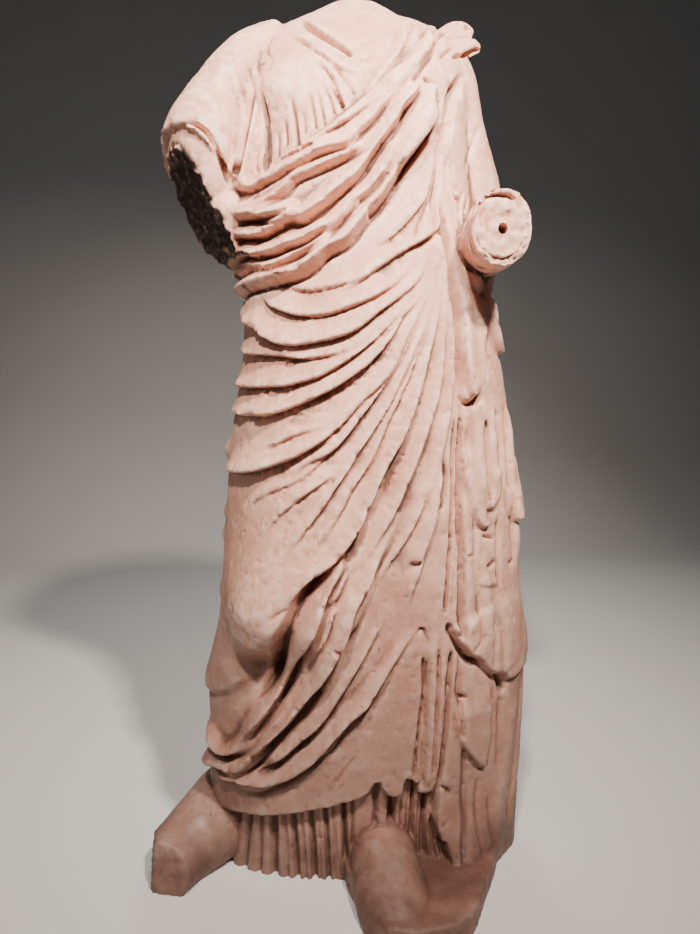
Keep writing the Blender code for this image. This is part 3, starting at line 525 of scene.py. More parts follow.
layers = {                        # where the cloak ends over the gown, as lines of angle and height
    "top": ((-110, 1180), (-85, 1160), (-59, 1165), (-33, 1205), (-14, 1245), (16, 1310), (39, 1365),
            (70, 1420), (90, 1450)),
    "hem": ((-180, 130), (-100, 125), (-92, 105), (-82, 102), (-72, 107), (-54, 117), (-36, 133), (-18, 145),
            (-10, 152), (-3, 162), (0, 175), (3, 180), (7, 166), (10, 155), (15, 150), (19, 156), (20.5, 185),
            (23, 180), (27, 172), (28, 156), (33, 152), (35.5, 155), (36.5, 165), (38, 165), (38.5, 100),
            (40, 83), (43, 55), (46, 20), (49, -5), (52, -30), (112, -30), (120, 130), (180, 130)),
    "cloak": (18, 10),            # how thick it is, and the height over which its hem ends
    "gown": 6,                    # how far it lies behind the body's form
    "chest": (12, 12),            # how much deeper the gown lies there, and the height over which it steps in
    "chestEnds": (-100, 86, 12),  # its two sides, and the angle over which the step ends
    "slots": (                    # in the gown: angle at the hem and at the ground, depth, half width
        (-74, -82, 6, 5), (-70, -77, 8, 5), (-65, -70, 10, 5), (-60, -63, 9, 4), (-55, -56, 16, 7),
        (-50, -50, 6, 4), (-46, -45, 15, 6), (-42, -41, 7, 4), (-37, -36, 16, 7), (-33, -33, 6, 4),
        (-29, -28, 14, 6), (-24, -24, 8, 4), (-18, -17, 18, 8), (-12, -13, 10, 6), (3, 3, 10, 10),
        (14, 14, 20, 11), (20, 20, 10, 4), (24, 25, 8, 5), (27, 28, 16, 6), (31, 32, 8, 4), (34, 35, 18, 7),
        (38, 40, 12, 5), (42, 47, 16, 6),
    ),
}


def toMetres(*lengths):
    # from millimetres
    return [length / 1000 for length in lengths]


def onMap(line):
    # the points of a line as degrees and metres
    return np.array(line, float) / (1, 1000)


def carve(relief, area):
    # one area's tables, which it need not have all of
    for lift, above, line in area.get("folds", ()):
        addFold(relief, onMap(line), *toMetres(lift, above), **area["foldLook"])
    for lift, above, below, line, *own in area.get("crests", ()):
        look = dict(area["crestLook"], **dict(*own))
        addFold(relief, onMap(line), *toMetres(lift, above, below), crisp=True, **look)
    for depth, width, line, *own in area.get("cuts", ()):
        addCut(relief, onMap(line), *toMetres(depth, width), *own or [area["cutFade"]])
    for middle, level, width, tall, push in area.get("swells", ()):
        level, tall, push = toMetres(level, tall, push)
        addSwell(relief, middle, level, width, tall, push)
    for lift, width, line, *own in area.get("ribs", ()):
        addRib(relief, onMap(line), *toMetres(lift, width), *own)


def carveBack(relief):
    least, more = back["rise"]
    for start in toMetres(*back["starts"]):
        rise = least / 1000 + more * start
        line = [(angle, start + share * rise) for angle, share in back["path"]]
        addFold(relief, line, *toMetres(*back["fold"]), **back["foldLook"])
    for angle in back["pleats"]:
        line = ((angle, 1000), (angle + 2, 500), (angle, 20))
        addCut(relief, onMap(line), *toMetres(*back["pleat"]), back["pleatFade"])


def levelOf(name, angle):
    # height of one of the cloak's edges
    rows = onMap(layers[name])
    return np.interp(angle, rows[:, 0], rows[:, 1])


def carveLayers(relief):
    # the cloak lies over the gown: its top edge steps in to the chest, its hem to the skirt
    angle, height = np.meshgrid(relief["angles"], relief["heights"])
    hem, top = levelOf("hem", relief["angles"]), levelOf("top", relief["angles"])
    thick, edge = toMetres(*layers["cloak"])
    relief["form"] += thick * smooth((height - hem) / edge + 0.5) - layers["gown"] / 1000
    deeper, edge = toMetres(*layers["chest"])
    start, end, blend = layers["chestEnds"]
    onChest = smooth((height - top) / edge) * smooth((angle - start) / blend) * smooth((end - angle) / blend)
    relief["form"] -= deeper * onChest
    for top, foot, depth, width in layers["slots"]:
        start = levelOf("hem", top) + 0.004
        line = ((top, start), (0.7 * top + 0.3 * foot, 0.6 * start), (foot, -0.02))
        addCut(relief, line, *toMetres(depth, width), fade=(0.02, 0.02), narrow=0.9)


def carveDrapery():
    step = figure["angleStep"]
    angles, heights = np.arange(-180, 180 + step, step), np.arange(0, 1.5, figure["heightStep"])
    relief = newRelief(angles, heights, figure["girth"])
    for area in (hips, thigh, cowl, roll, shoulder, knee, cascade, shins):
        carve(relief, area)
    carveBack(relief)
    carveLayers(relief)
    return relief


def wrapGrid(name, shape, across, along):
    # a flat grid bent round a form: shape takes the turn from 0 to 1 and the way along it from 0 to 1
    mesh = bpy.data.meshes.new(name)
    bm = bmesh.new()
    bmesh.ops.create_grid(bm, x_segments=across, y_segments=along, size=0.5)
    bm.to_mesh(mesh)
    bm.clear()
    turn, way = (valuesOf(mesh.vertices, "co", 3, np.float32)[:, :2] + 0.5).T.astype(float)
    movePoints(mesh, shape(turn, way))
    bm.from_mesh(mesh)
    bmesh.ops.remove_doubles(bm, verts=bm.verts, dist=0.00001)
    return makeThing(name, bm, mesh)


def makeThing(name, bm, mesh=None):
    mesh = mesh or bpy.data.meshes.new(name)
    bm.to_mesh(mesh)
    bm.free()
    thing = bpy.data.objects.new(name, mesh)
    bpy.context.collection.objects.link(thing)
    return thing


def valuesOf(items, name, width, kind):
    flat = np.empty(len(items) * width, kind)
    items.foreach_get(name, flat)
    return flat.reshape(-1, width)


def pointsOf(mesh):
    return valuesOf(mesh.vertices, "co", 3, np.float32).astype(float)


def movePoints(mesh, points):
    mesh.vertices.foreach_set("co", points.astype(np.float32).ravel())
    mesh.update()


def makeBody(relief):
    top = figure["sections"][-1][0]
    lift = relief["form"] + relief["folds"] + relief["cuts"]

    def shape(turn, way):
        angle = (360 * turn) % 360 - 180
        height = np.clip(-0.03 + (top + 0.04) * way, -0.02, top)
        point = bodyPoint(angle, height)
        east = bodyPoint(angle + 0.5, height) - point
        higher = np.minimum(height + 0.002, top)
        up = bodyPoint(angle, higher) - bodyPoint(angle, higher - 0.002)
        east /= np.linalg.norm(east, axis=1)[:, None]
        up /= np.linalg.norm(up, axis=1)[:, None] + 1e-9
        out = np.cross(east, up)
        out /= np.linalg.norm(out, axis=1)[:, None] + 1e-9
        hang = sample(relief, relief["hang"], angle, height)
        rise = out * sample(relief, lift, angle, height)[:, None] + east * hang[:, :1] + up * hang[:, 1:]
        point = point + smooth((top - 0.005 - height) / 0.03)[:, None] * rise
        ends = (way < 1e-6) | (way > 1 - 1e-6)
        point[ends, 0], point[ends, 1] = figure["axis"], 0
        return point

    return wrapGrid("body", shape, *figure["cells"])


def makeLimb(name, stations, across=160, along=150):
    # a round form through stations: x, y, z of its middle, and its two half widths.
    # The first is square to its run and level, the second square to both
    path = alongCurve(np.array(stations) / 1000, along + 3)

    def shape(turn, way):
        t = way * (len(path) - 1)
        i = np.minimum(t.astype(int), len(path) - 2)
        row = path[i] + (path[i + 1] - path[i]) * (t - i)[:, None]
        run = path[i + 1, :3] - path[i, :3]
        run /= np.linalg.norm(run, axis=1)[:, None]
        level = np.cross(run, (0, 0.02, 1) if abs(path[-1, 2] - path[0, 2]) < 0.2 else (0, 1, 0))
        level /= np.linalg.norm(level, axis=1)[:, None]
        other = np.cross(level, run)
        a = 2 * np.pi * turn
        ends = np.minimum(way * along / 8, (1 - way) * along / 8)
        blunt = np.sqrt(np.clip(1 - np.clip(1 - ends, 0, 1) ** 2, 0, 1))
        return (row[:, :3] + level * (row[:, 3] * np.cos(a) * blunt)[:, None]
                + other * (row[:, 4] * np.sin(a) * blunt)[:, None])

    return wrapGrid(name, shape, across, along)


limbs = {                         # in mm: x, y, z of the middle, half width across and half width deep
    "rightSleeve": ((-100, 20, 1415, 50, 50), (-165, 12, 1372, 55, 80), (-212, 0, 1300, 64, 95),
        (-242, -10, 1220, 78, 105), (-228, 0, 1150, 72, 90), (-190, 25, 1080, 55, 60),
        (-150, 20, 1020, 40, 45)),
    "rightArm": ((-200, 0, 1320, 48, 80), (-236, -10, 1240, 66, 96), (-236, -8, 1170, 66, 88),
        (-225, 12, 1080, 50, 55), (-210, 5, 1040, 36, 50)),
    "rightWeb": ((-110, 0, 1395, 30, 30), (-140, -30, 1360, 45, 34), (-155, -50, 1300, 46, 37),
        (-165, -65, 1230, 40, 37), (-170, -66, 1175, 32, 32), (-173, -64, 1145, 24, 26)),
    "rightStump": ((-246, -50, 1220, 40, 45), (-232, -45, 1140, 34, 45), (-214, -58, 1090, 22, 45),
        (-206, -58, 1055, 14, 36), (-200, -55, 1035, 8, 20)),
    "armEnd": ((-232, -20, 1238, 26, 18), (-240, -40, 1230, 30, 21), (-252, -62, 1215, 30, 21),
        (-262, -82, 1200, 28, 20)),
    "leftShoulder": ((0, 30, 1385, 50, 70), (60, 25, 1395, 55, 68), (115, 20, 1385, 58, 60),
        (155, 15, 1370, 52, 52), (185, 10, 1355, 42, 40)),
    "leftArm": ((120, 30, 1400, 50, 50), (160, 20, 1370, 60, 80), (180, 20, 1280, 62, 82),
        (200, 20, 1180, 72, 82), (220, 20, 1100, 66, 78), (222, 20, 1030, 45, 60), (225, 20, 960, 36, 50)),
    "armCloth": ((160, 0, 1340, 34, 48), (166, -10, 1260, 36, 52), (168, -15, 1190, 36, 52),
        (172, -18, 1120, 34, 52), (178, -22, 1050, 26, 44)),
    "leftForearm": ((215, 0, 1072, 38, 45), (209, -80, 1067, 40, 45), (204, -160, 1061, 41.5, 45),
        (201.5, -250, 1059, 41.5, 45)),
    "leftSleeve": ((230, 50, 1085, 42, 58), (228, -30, 1080, 43, 57), (223, -85, 1074, 46, 59),
        (218, -115, 1070, 41, 54), (214, -138, 1067, 48, 58), (211, -158, 1066, 43, 53),
        (208, -180, 1064, 49, 58), (206, -198, 1062, 44, 53), (204, -215, 1061, 48.5, 56.5),
        (203, -250, 1061, 48.5, 56.5)),
    "hangingTip": ((155, -90, 1052, 5, 12), (162, -98, 1043, 6, 14), (172, -102, 1022, 7, 15),
        (186, -104, 1007, 9, 15), (199, -104, 996, 10, 14), (205, -100, 984, 6, 10)),
    "rightFoot": ((-150, 50, 85, 75, 90), (-215, 5, 70, 72, 80), (-265, -40, 50, 64, 66),
        (-300, -75, 35, 56, 58), (-325, -115, 30, 52, 52), (-345, -150, 30, 48, 48)),
    "leftFoot": ((45, -40, 55, 55, 60), (42, -120, 40, 55, 58), (43, -200, 22, 60, 50),
        (48, -270, -5, 52, 42), (52, -300, -20, 40, 30)),
    "knot": ((150, -15, 1417, 18, 20), (174, -24, 1432, 13, 20), (192, -28, 1434, 12, 18),
        (207, -28, 1427, 7, 12)),
    "knotBelow": ((130, -20, 1400, 20, 26), (170, -30, 1402, 16, 22), (200, -34, 1409, 12, 18),
        (222, -34, 1407, 4, 6)),
}
plinth = {
    "thick": 0.035,
    "outline": ((-0.026, -0.10), (-0.022, -0.155), (-0.012, -0.198), (-0.003, -0.232), (0.008, -0.262),
                (0.022, -0.292), (0.06, -0.305), (0.12, -0.298), (0.150, -0.283), (0.168, -0.258),
                (0.180, -0.236), (0.196, -0.206), (0.214, -0.178), (0.240, -0.128), (0.262, -0.08),
                (0.05, 0.02), (-0.03, -0.02)),
}
breaks = {                        # where lost parts broke away: forms, a point, its normal, lowest height
    "rollEnds": (("body",), (-0.243, -0.06, 1.121), (-0.80, -0.33, -0.50), 0.985),
    "sleeveEnd": (("rightSleeve",), (-0.24, -0.112, 1.208), (-0.60, -0.35, -0.72)),
    "armAbove": (("rightSleeve", "rightArm"), (-0.289, -0.085, 1.203), (-0.92, -0.255, -0.302)),
    "arm": (("rightSleeve", "rightArm", "rightStump"), (-0.241, -0.06, 1.121), (-0.80, -0.33, -0.50)),
    "armBelow": (("rightSleeve", "rightArm", "rightStump"), (-0.187, 0.03, 1.024), (-0.56, 0.22, -0.80)),
    "stump": (("rightStump",), (-0.225, -0.088, 1.10), (-0.25, -0.95, 0.12)),
    "sleeve": (("leftSleeve",), (0.206, -0.217, 1.058), (0.05, -1, -0.04)),
    "forearm": (("leftForearm",), (0.204, -0.2185, 1.058), (0, -1, 0)),
    "toesLeft": (("rightFoot",), (-0.343, -0.10, 0.03), (-1, -0.15, 0.1)),
    "toesFront": (("rightFoot",), (-0.300, -0.138, 0), (-0.35, -1, 0.1)),
}
forearmSeat = {                   # the flat face that the lost left forearm was set against
    "place": (0.204, -0.220, 1.058),
    "dowel": 0.016,
    "deep": 0.035,
}


def makePlinth():
    bm = bmesh.new()
    face = bm.faces.new([bm.verts.new((x, y, -0.01)) for x, y in plinth["outline"]])
    top = bmesh.ops.extrude_face_region(bm, geom=[face])
    lifted = [v for v in top["geom"] if isinstance(v, bmesh.types.BMVert)]
    bmesh.ops.translate(bm, vec=(0, 0, plinth["thick"] + 0.01), verts=lifted)
    bmesh.ops.recalc_face_normals(bm, faces=bm.faces)
    return makeThing("plinth", bm)


def pressFlat(thing, point, normal, low=-1.0):
    # everything beyond a plane, and above a height, is pressed back on to it, which leaves a flat break
    co = pointsOf(thing.data)
    n = np.array(normal, float) / np.linalg.norm(normal)
    beyond = np.clip((co - point) @ n, 0, None) * smooth((co[:, 2] - low) / 0.02)
    movePoints(thing.data, co - beyond[:, None] * n)


def join(things, name):
    bpy.ops.object.select_all(action="DESELECT")
    for thing in things:
        thing.select_set(True)
    bpy.context.view_layer.objects.active = things[0]
    bpy.ops.object.join()
    things[0].name = name
    things[0].data.name = name
    return things[0]


def applyModifiers(thing):
    graph = bpy.context.evaluated_depsgraph_get()
    made = bpy.data.meshes.new_from_object(thing.evaluated_get(graph))
    thing.modifiers.clear()
    thing.data = made


def edgesOf(mesh):
    return valuesOf(mesh.edges, "vertices", 2, np.int32)


def keepLargest(thing):
    # drops any sealed hollow that the joined forms leave inside
    mesh = thing.data
    a, b = edgesOf(mesh).T
    group = np.arange(len(mesh.vertices))
    while True:
        lower = np.minimum(group[a], group[b])
        spread = group.copy()
        np.minimum.at(spread, a, lower)
        np.minimum.at(spread, b, lower)
        spread = spread[spread]
        if (spread == group).all():
            break
        group = spread
    kinds, sizes = np.unique(group, return_counts=True)
    if len(kinds) > 1:
        bm = bmesh.new()
        bm.from_mesh(mesh)
        bm.verts.ensure_lookup_table()
        lost = np.flatnonzero(group != kinds[sizes.argmax()])
        bmesh.ops.delete(bm, geom=[bm.verts[i] for i in lost], context="VERTS")
        bm.to_mesh(mesh)
        bm.free()


def addCutter(statue, name, bm):
    cutter = makeThing(name, bm)
    cutter.hide_render = True
    cut = statue.modifiers.new(name, "BOOLEAN")
    cut.operation = "DIFFERENCE"
    cut.solver = "EXACT"
    cut.object = cutter
    return cutter


def cutFlats(statue):
    # the underside, and the dowel hole in the face that the lost forearm was set against
    ground = bmesh.new()
    bmesh.ops.create_cube(ground, size=1)
    bmesh.ops.scale(ground, vec=(2, 2, 0.2), verts=ground.verts)
    bmesh.ops.translate(ground, vec=(0, 0, -0.1), verts=ground.verts)
    hole = bmesh.new()
    radius = forearmSeat["dowel"] / 2
    bmesh.ops.create_cone(hole, cap_ends=True, segments=32, radius1=radius, radius2=radius,
                          depth=2 * forearmSeat["deep"])
    bmesh.ops.rotate(hole, matrix=Matrix.Rotation(radians(90), 3, "X"), verts=hole.verts)
    bmesh.ops.translate(hole, vec=forearmSeat["place"], verts=hole.verts)
    cutters = [addCutter(statue, "ground", ground), addCutter(statue, "dowelHole", hole)]
    applyModifiers(statue)
    for cutter in cutters:
        bpy.data.objects.remove(cutter)


def normalsOf(mesh):
    return valuesOf(mesh.vertices, "normal", 3, np.float32).astype(float)


def spreadOut(values, edges, times):
    # averages each point's value with those of its neighbours, again and again
    count = len(values)
    a, b = edges.T
    links = np.bincount(a, minlength=count) + np.bincount(b, minlength=count) + 1.0
    for _ in range(times):
        total = [v + np.bincount(a, v[b], count) + np.bincount(b, v[a], count) for v in values.T]
        values = np.stack(total, -1) / links[:, None]
    return values


strokes = {                       # in mm, seen from the front: depth, half width, (x, z) along the groove
    "pleats": (
        (17, 6.5, ((-163, 1295), (-167, 1277), (-175, 1240), (-183, 1205), (-198, 1148))),
        (9, 4.5, ((-155, 1280), (-158, 1237), (-166, 1199), (-180, 1155))),
        (6, 3.5, ((-159, 1210), (-170, 1160))),
        (6, 3.5, ((-152, 1215), (-158, 1165))),
        (14, 5.5, ((-153, 1290), (-149, 1267), (-142, 1230), (-143, 1192), (-146, 1160))),
        (6, 3.5, ((-138, 1215), (-140, 1175))),
        (6, 3.5, ((-125, 1225), (-126, 1180))),
        (7, 3.5, ((-115, 1242), (-112, 1200))),
        (11, 4.5, ((-107, 1275), (-101, 1247), (-97, 1217), (-95, 1185))),
        (5, 3, ((-88, 1250), (-84, 1215))),
        (7, 3.5, ((-78, 1285), (-72, 1252), (-67, 1220))),
        (6, 3, ((-66, 1290), (-59, 1256), (-53, 1226))),
        (6, 3, ((-57, 1298), (-45, 1268), (-39, 1244))),
        (6, 3, ((-47, 1302), (-35, 1276), (-25, 1256))),
    ),
    "shoulder": (
        (3, 5, ((-150, 1372), (-155, 1341), (-153, 1319), (-156, 1285))),
        (2, 5, ((-141, 1371), (-134, 1342), (-146, 1312))),
        (2.5, 5, ((-178, 1350), (-166, 1310), (-166, 1275))),
        (3, 5, ((-193, 1340), (-180, 1291), (-179, 1254), (-188, 1200))),
        (3, 5, ((-208, 1325), (-190, 1280), (-188, 1243), (-197, 1185))),
        (3, 5, ((-227, 1302), (-209, 1269), (-198, 1232), (-201, 1175))),
        (2.5, 5, ((-262, 1295), (-235, 1283), (-216, 1257), (-207, 1215))),
        (2, 4, ((-270, 1270), (-245, 1262), (-228, 1245))),
    ),
    "sleeveRim": (
        (13, 5.5, ((-276, 1229), (-262, 1230), (-248, 1226), (-232, 1212), (-220, 1190), (-211, 1171),
         (-203, 1146))),
    ),
    "leftArm": (
        (3, 4, ((226, 1285), (211, 1262), (194, 1220), (184, 1190))),
        (26, 12, ((190, 1362), (172, 1330), (160, 1305), (151, 1280), (146, 1255), (141, 1235), (137, 1212))),
        (6, 4, ((143, 1198), (142, 1171), (144, 1138))),
        (8, 4, ((148, 1205), (152, 1179), (155, 1155), (162, 1139))),
        (5, 4, ((194, 1157), (184, 1132), (179, 1112), (177, 1072), (186, 1046))),
        (6, 4, ((181, 1157), (173, 1136), (168, 1112), (169, 1080), (174, 1052))),
        (12, 4.5, ((155, 1131), (165, 1131), (170, 1124), (165, 1111))),
    ),
    "ring": (
        (14, 3.2, ((172, 1096), (184, 1104), (199, 1107), (214, 1105), (222, 1100))),
        (4, 2.4, ((243, 1060), (231, 1091), (201.5, 1104.5), (172, 1091), (159.5, 1060), (172, 1029),
         (201.5, 1013.5), (231, 1029), (242.5, 1054))),
    ),
    "knot": (
        (10, 4, ((160, 1418), (178, 1420), (194, 1422), (212, 1421))),
        (12, 5, ((190, 1434), (197, 1440), (204, 1434))),
        (14, 5, ((160, 1368), (175, 1382), (191, 1389), (205, 1397), (220, 1404))),
        (6, 4, ((148, 1442), (138, 1419), (124, 1400))),
        (7, 4, ((166, 1440), (153, 1423), (140, 1403), (130, 1384))),
        (7, 4, ((171, 1398), (152, 1377), (138, 1360))),
        (5, 4, ((112, 1452), (100, 1430), (90, 1408))),
        (6, 4, ((132, 1452), (122, 1430), (108, 1400), (90, 1375))),
    ),
}


def drawStrokes(co, n):
    # how deep the strokes cut each point that faces the front
    deep = np.zeros(len(co))
    front = np.flatnonzero((n[:, 1] < -0.05) & (co[:, 1] < 0.05))
    for group in strokes.values():
        for depth, width, points in group:
            depth, width = toMetres(depth, width)
            line = alongCurve(np.array(points) / 1000, 8 * len(points))
            low, high = line.min(0) - width, line.max(0) + width
            x, z = co[front, 0], co[front, 2]
            some = front[(x > low[0]) & (x < high[0]) & (z > low[1]) & (z < high[1])]
            x, z = co[some, 0], co[some, 2]
            best, place = np.full(len(some), 1e9), np.zeros(len(some))
            for i, (start, end) in enumerate(zip(line[:-1], line[1:])):
                dx, dz = end - start
                t = np.clip(((x - start[0]) * dx + (z - start[1]) * dz) / (dx * dx + dz * dz + 1e-12), 0, 1)
                distance = np.hypot(x - start[0] - t * dx, z - start[1] - t * dz)
                place = np.where(distance < best, (i + t) / (len(line) - 1), place)
                best = np.minimum(best, distance)
            grow = growthOf(place, (0.35, 0.10))
            shape = 1 - np.clip(best / (width * (0.5 + 0.5 * grow)), 0, 1) ** 1.6
            deep[some] = np.maximum(deep[some], depth * grow * shape)
    return deep


def noiseAt(points, size, seed=0.0):
    away = Vector((seed, 1.7 * seed, -0.6 * seed))
    cell = noise.noise
    return np.array([cell(Vector(p) + away) for p in (points / size).tolist()])


wear = {
    "rough": 0.00045,             # small unevenness of the weathered surface
    "lumps": 0.0011,              # slow unevenness, about 30 mm across
    "pits": 0.0013,
    "crestLoss": 0.35,            # share of its sharpness that a crest has lost, in places
    "breakRough": 0.0022,
    "shadedBreaks": ("arm", "armBelow"),       # the breaks painted dark as shade, where they face away from the lamps
    "breakShadeReach": 0.12,
    "fine": 0.0012,               # a dip or a rise over a few points that counts in full
    "broadHollow": 0.006,         # a dip over many points that does, and a rise
    "broadProud": 0.008,
}


def onBreak(co, n, name, reach=1.0):
    # how much each point belongs to a break, from 0 to 1
    point, normal = breaks[name][1:3]
    way = np.array(normal, float) / np.linalg.norm(normal)
    close = smooth((reach - np.linalg.norm(co - point, axis=1)) / 0.02)
    return close * smooth((0.006 - np.abs((co - point) @ way)) / 0.003) * smooth((n @ way - 0.6) / 0.3)


def weather(statue):
    # wears the crests, roughens the breaks and pits the surface
    mesh = statue.data
    co, n, edges = pointsOf(mesh), normalsOf(mesh), edgesOf(mesh)
    soft = spreadOut(co, edges, 6)
    crest = ((co - soft) * n).sum(1)
    gone = smooth((noiseAt(co, 0.013, 3) + 0.15) / 0.35)
    co = co + (soft - co) * (wear["crestLoss"] * gone * (crest > 0))[:, None]
    bump = wear["lumps"] * noiseAt(co, 0.030, 11) + wear["rough"] * noiseAt(co, 0.0055, 23)
    bump -= wear["pits"] * smooth((noiseAt(co, 0.0075, 31) - 0.36) / 0.25)
    rough = sum(onBreak(co, n, name) for name in breaks)
    bump += rough * wear["breakRough"] * (noiseAt(co, 0.016, 41) + 0.6 * noiseAt(co, 0.006, 47))
    bump -= drawStrokes(co, n)
    movePoints(mesh, co + n * bump[:, None])


def markMasks(statue):
    # how hollow and how proud each point is, and where the darkened breaks lie, kept on the mesh for the
    # marble's patina and its painted shade
    mesh = statue.data
    co, n, edges = pointsOf(mesh), normalsOf(mesh), edgesOf(mesh)
    close = spreadOut(co, edges, 4)
    wide = spreadOut(close, edges, 40)
    fine = ((co - close) * n).sum(1) / wear["fine"]
    broad = ((close - wide) * n).sum(1)
    carved = co + (*figure["centre"], 0)
    masks = {
        # the hollow mask carries the rust patina and also the painted shade of the deepest hollows
        "hollow": np.clip(-broad / wear["broadHollow"], 0, 1) * 0.7 + np.clip(-fine, 0, 1) * 0.5,
        "proud": np.clip(fine, 0, 1) * 0.6 + np.clip(broad / wear["broadProud"], 0, 1) * 0.4,
        # painted shade: the breaks that face away from the lamps, to be darkened in colour
        "broken": sum(onBreak(carved, n, name, wear["breakShadeReach"]) for name in wear["shadedBreaks"]),
    }
    for name, values in masks.items():
        layer = mesh.attributes.new(name, "FLOAT", "POINT")
        layer.data.foreach_set("value", np.clip(values, 0, 1).astype(np.float32))


def carveStatue():
    relief = carveDrapery()
    print("drapery worked out")
    forms = {"body": makeBody(relief)}
    for name, stations in limbs.items():
        forms[name] = makeLimb(name, stations)
    forms["plinth"] = makePlinth()
    for names, *plane in breaks.values():
        for name in names:
            pressFlat(forms[name], *plane)
    statue = join(list(forms.values()), "statueMarble")
    remesh = statue.modifiers.new("carve", "REMESH")
    remesh.mode = "VOXEL"
    remesh.voxel_size = figure["voxel"]
    applyModifiers(statue)
    keepLargest(statue)
    print("forms joined,", len(statue.data.vertices), "points")
    soften = statue.modifiers.new("soften", "SMOOTH")
    soften.factor = figure["soften"]
    soften.iterations = 1
    applyModifiers(statue)
    weather(statue)
    print("surface weathered")
    thin = statue.modifiers.new("thin", "DECIMATE")
    thin.ratio = figure["triangles"] / (2 * len(statue.data.polygons))
    applyModifiers(statue)
    cutFlats(statue)
    keepLargest(statue)
    statue.data.transform(Matrix.Translation((-figure["centre"][0], -figure["centre"][1], 0)))
    markMasks(statue)
    statue.data.shade_smooth()
    statue.data.set_sharp_from_angle(angle=radians(figure["sharpAngle"]))
    print("statue carved,", len(statue.data.polygons), "faces")
    return statue


marble = {
    "cream": (0.74, 0.41, 0.30, 1),
    "pink": (0.62, 0.30, 0.21, 1),
    "rust": (0.34, 0.13, 0.065, 1),
    "pale": (0.84, 0.58, 0.47, 1),
    # painted shade and soiling colour for the lower parts
    "lowShadeAndSoil": (0.065, 0.029, 0.021, 1),
    # painted shade: the dark colour laid in the deepest hollows in place of their shadow
    "paintedHollowShade": (0.09, 0.040, 0.028, 1),
    # painted shade colour for the breaks that face away from the light
    "paintedBreakShade": (0.036, 0.022, 0.017, 1),
    "stains": (0.9, 0.20),        # how much rust in the hollows, and everywhere
    "mottle": 0.16,
    "hollowShadeShare": 0.80,                # how much painted shade darkens the deepest hollows
    "lowShadeLevels": (                   # darker towards the ground, painted shade of the light falling off low down together with some soiling: height it starts at and is full at, and its share at both
        (0.75, 0.08, 0.0, 0.74),
        (0.12, 0.03, 0.0, 0.22),
    ),
    "roughness": (0.50, 0.78),
    "grain": 0.35,
    "grainDepth": 0.0008,
}


def makeMarble():
    material = bpy.data.materials.new("weatheredMarble")
    material.use_nodes = True
    nodes, links = material.node_tree.nodes, material.node_tree.links
    shader = nodes["Principled BSDF"]
    where = nodes.new("ShaderNodeTexCoord").outputs["Object"]

    def feed(node, names, values):
        # a number or a colour is set on the socket, anything else is linked to it
        for name, value in zip(names, values):
            if isinstance(value, (int, float, tuple)):
                node.inputs[name].default_value = value
            else:
                links.new(value, node.inputs[name])
        return node

    def grain(scale, detail=4, rough=0.55):
        made = nodes.new("ShaderNodeTexNoise")
        names = ("Vector", "Scale", "Detail", "Roughness")
        return feed(made, names, (where, scale, detail, rough)).outputs["Fac"]

    def ramp(value, low, high, least=0.0, most=1.0):
        made = nodes.new("ShaderNodeMapRange")
        made.interpolation_type = "SMOOTHSTEP"
        names = ("Value", "From Min", "From Max", "To Min", "To Max")
        return feed(made, names, (value, low, high, least, most)).outputs["Result"]

    def reckon(how, a, b):
        made = nodes.new("ShaderNodeMath")
        made.operation = how
        return feed(made, (0, 1), (a, b)).outputs["Value"]

    def blend(share, under, over):
        made = nodes.new("ShaderNodeMix")
        made.data_type = "RGBA"
        return feed(made, ("Factor", 6, 7), (share, under, over)).outputs[2]

    def mask(name):
        made = nodes.new("ShaderNodeAttribute")
        made.attribute_name = name
        return made.outputs["Fac"]

    height = nodes.new("ShaderNodeSeparateXYZ")
    links.new(where, height.inputs["Vector"])
    # darker towards the bottom: painted shade of the light falling off, and some real soiling
    lowShadeAndDirt = reckon("ADD", *(ramp(height.outputs["Z"], *rise) for rise in marble["lowShadeLevels"]))
    hollow, proud = mask("hollow"), mask("proud")
    inHollows, anywhere = marble["stains"]
    stains = reckon("ADD", reckon("MULTIPLY", hollow, inHollows), anywhere)
    stains = reckon("MULTIPLY", ramp(grain(11, 6, 0.65), 0.40, 0.66), stains)
    lowShadePatches = reckon("MULTIPLY", lowShadeAndDirt, ramp(grain(9), 0.30, 0.70, 0.80, 1.0))
    # painted shade on the breaks that face away from the light
    paintedBreakShade = reckon("MULTIPLY", mask("broken"), ramp(grain(90), 0.2, 0.5, 0.6, 1.0))
    colour = blend(ramp(grain(7), 0.35, 0.68), marble["cream"], marble["pink"])
    colour = blend(stains, colour, marble["rust"])
    colour = blend(reckon("MULTIPLY", proud, ramp(grain(60), 0.35, 0.65)), colour, marble["pale"])
    colour = blend(ramp(grain(220, 3), 0.35, 0.65, 0.0, marble["mottle"]), colour, marble["pale"])
    # painted shade of the light falling off low down, with some soiling, in uneven patches
    colour = blend(lowShadePatches, colour, marble["lowShadeAndSoil"])
    # painted shade: the deepest hollows darkened in colour, standing in for their shadow
    colour = blend(ramp(hollow, 0.35, 1.0, 0.0, marble["hollowShadeShare"]), colour, marble["paintedHollowShade"])
    colour = blend(paintedBreakShade, colour, marble["paintedBreakShade"])
    links.new(colour, shader.inputs["Base Color"])
    links.new(ramp(grain(45), 0.3, 0.7, *marble["roughness"]), shader.inputs["Roughness"])
    relief = nodes.new("ShaderNodeBump")
    bumps = reckon("ADD", grain(420, 3), reckon("MULTIPLY", grain(130, 4, 0.7), 1.6))
    feed(relief, ("Strength", "Distance", "Height"), (marble["grain"], marble["grainDepth"], bumps))
    links.new(relief.outputs["Normal"], shader.inputs["Normal"])
    return material


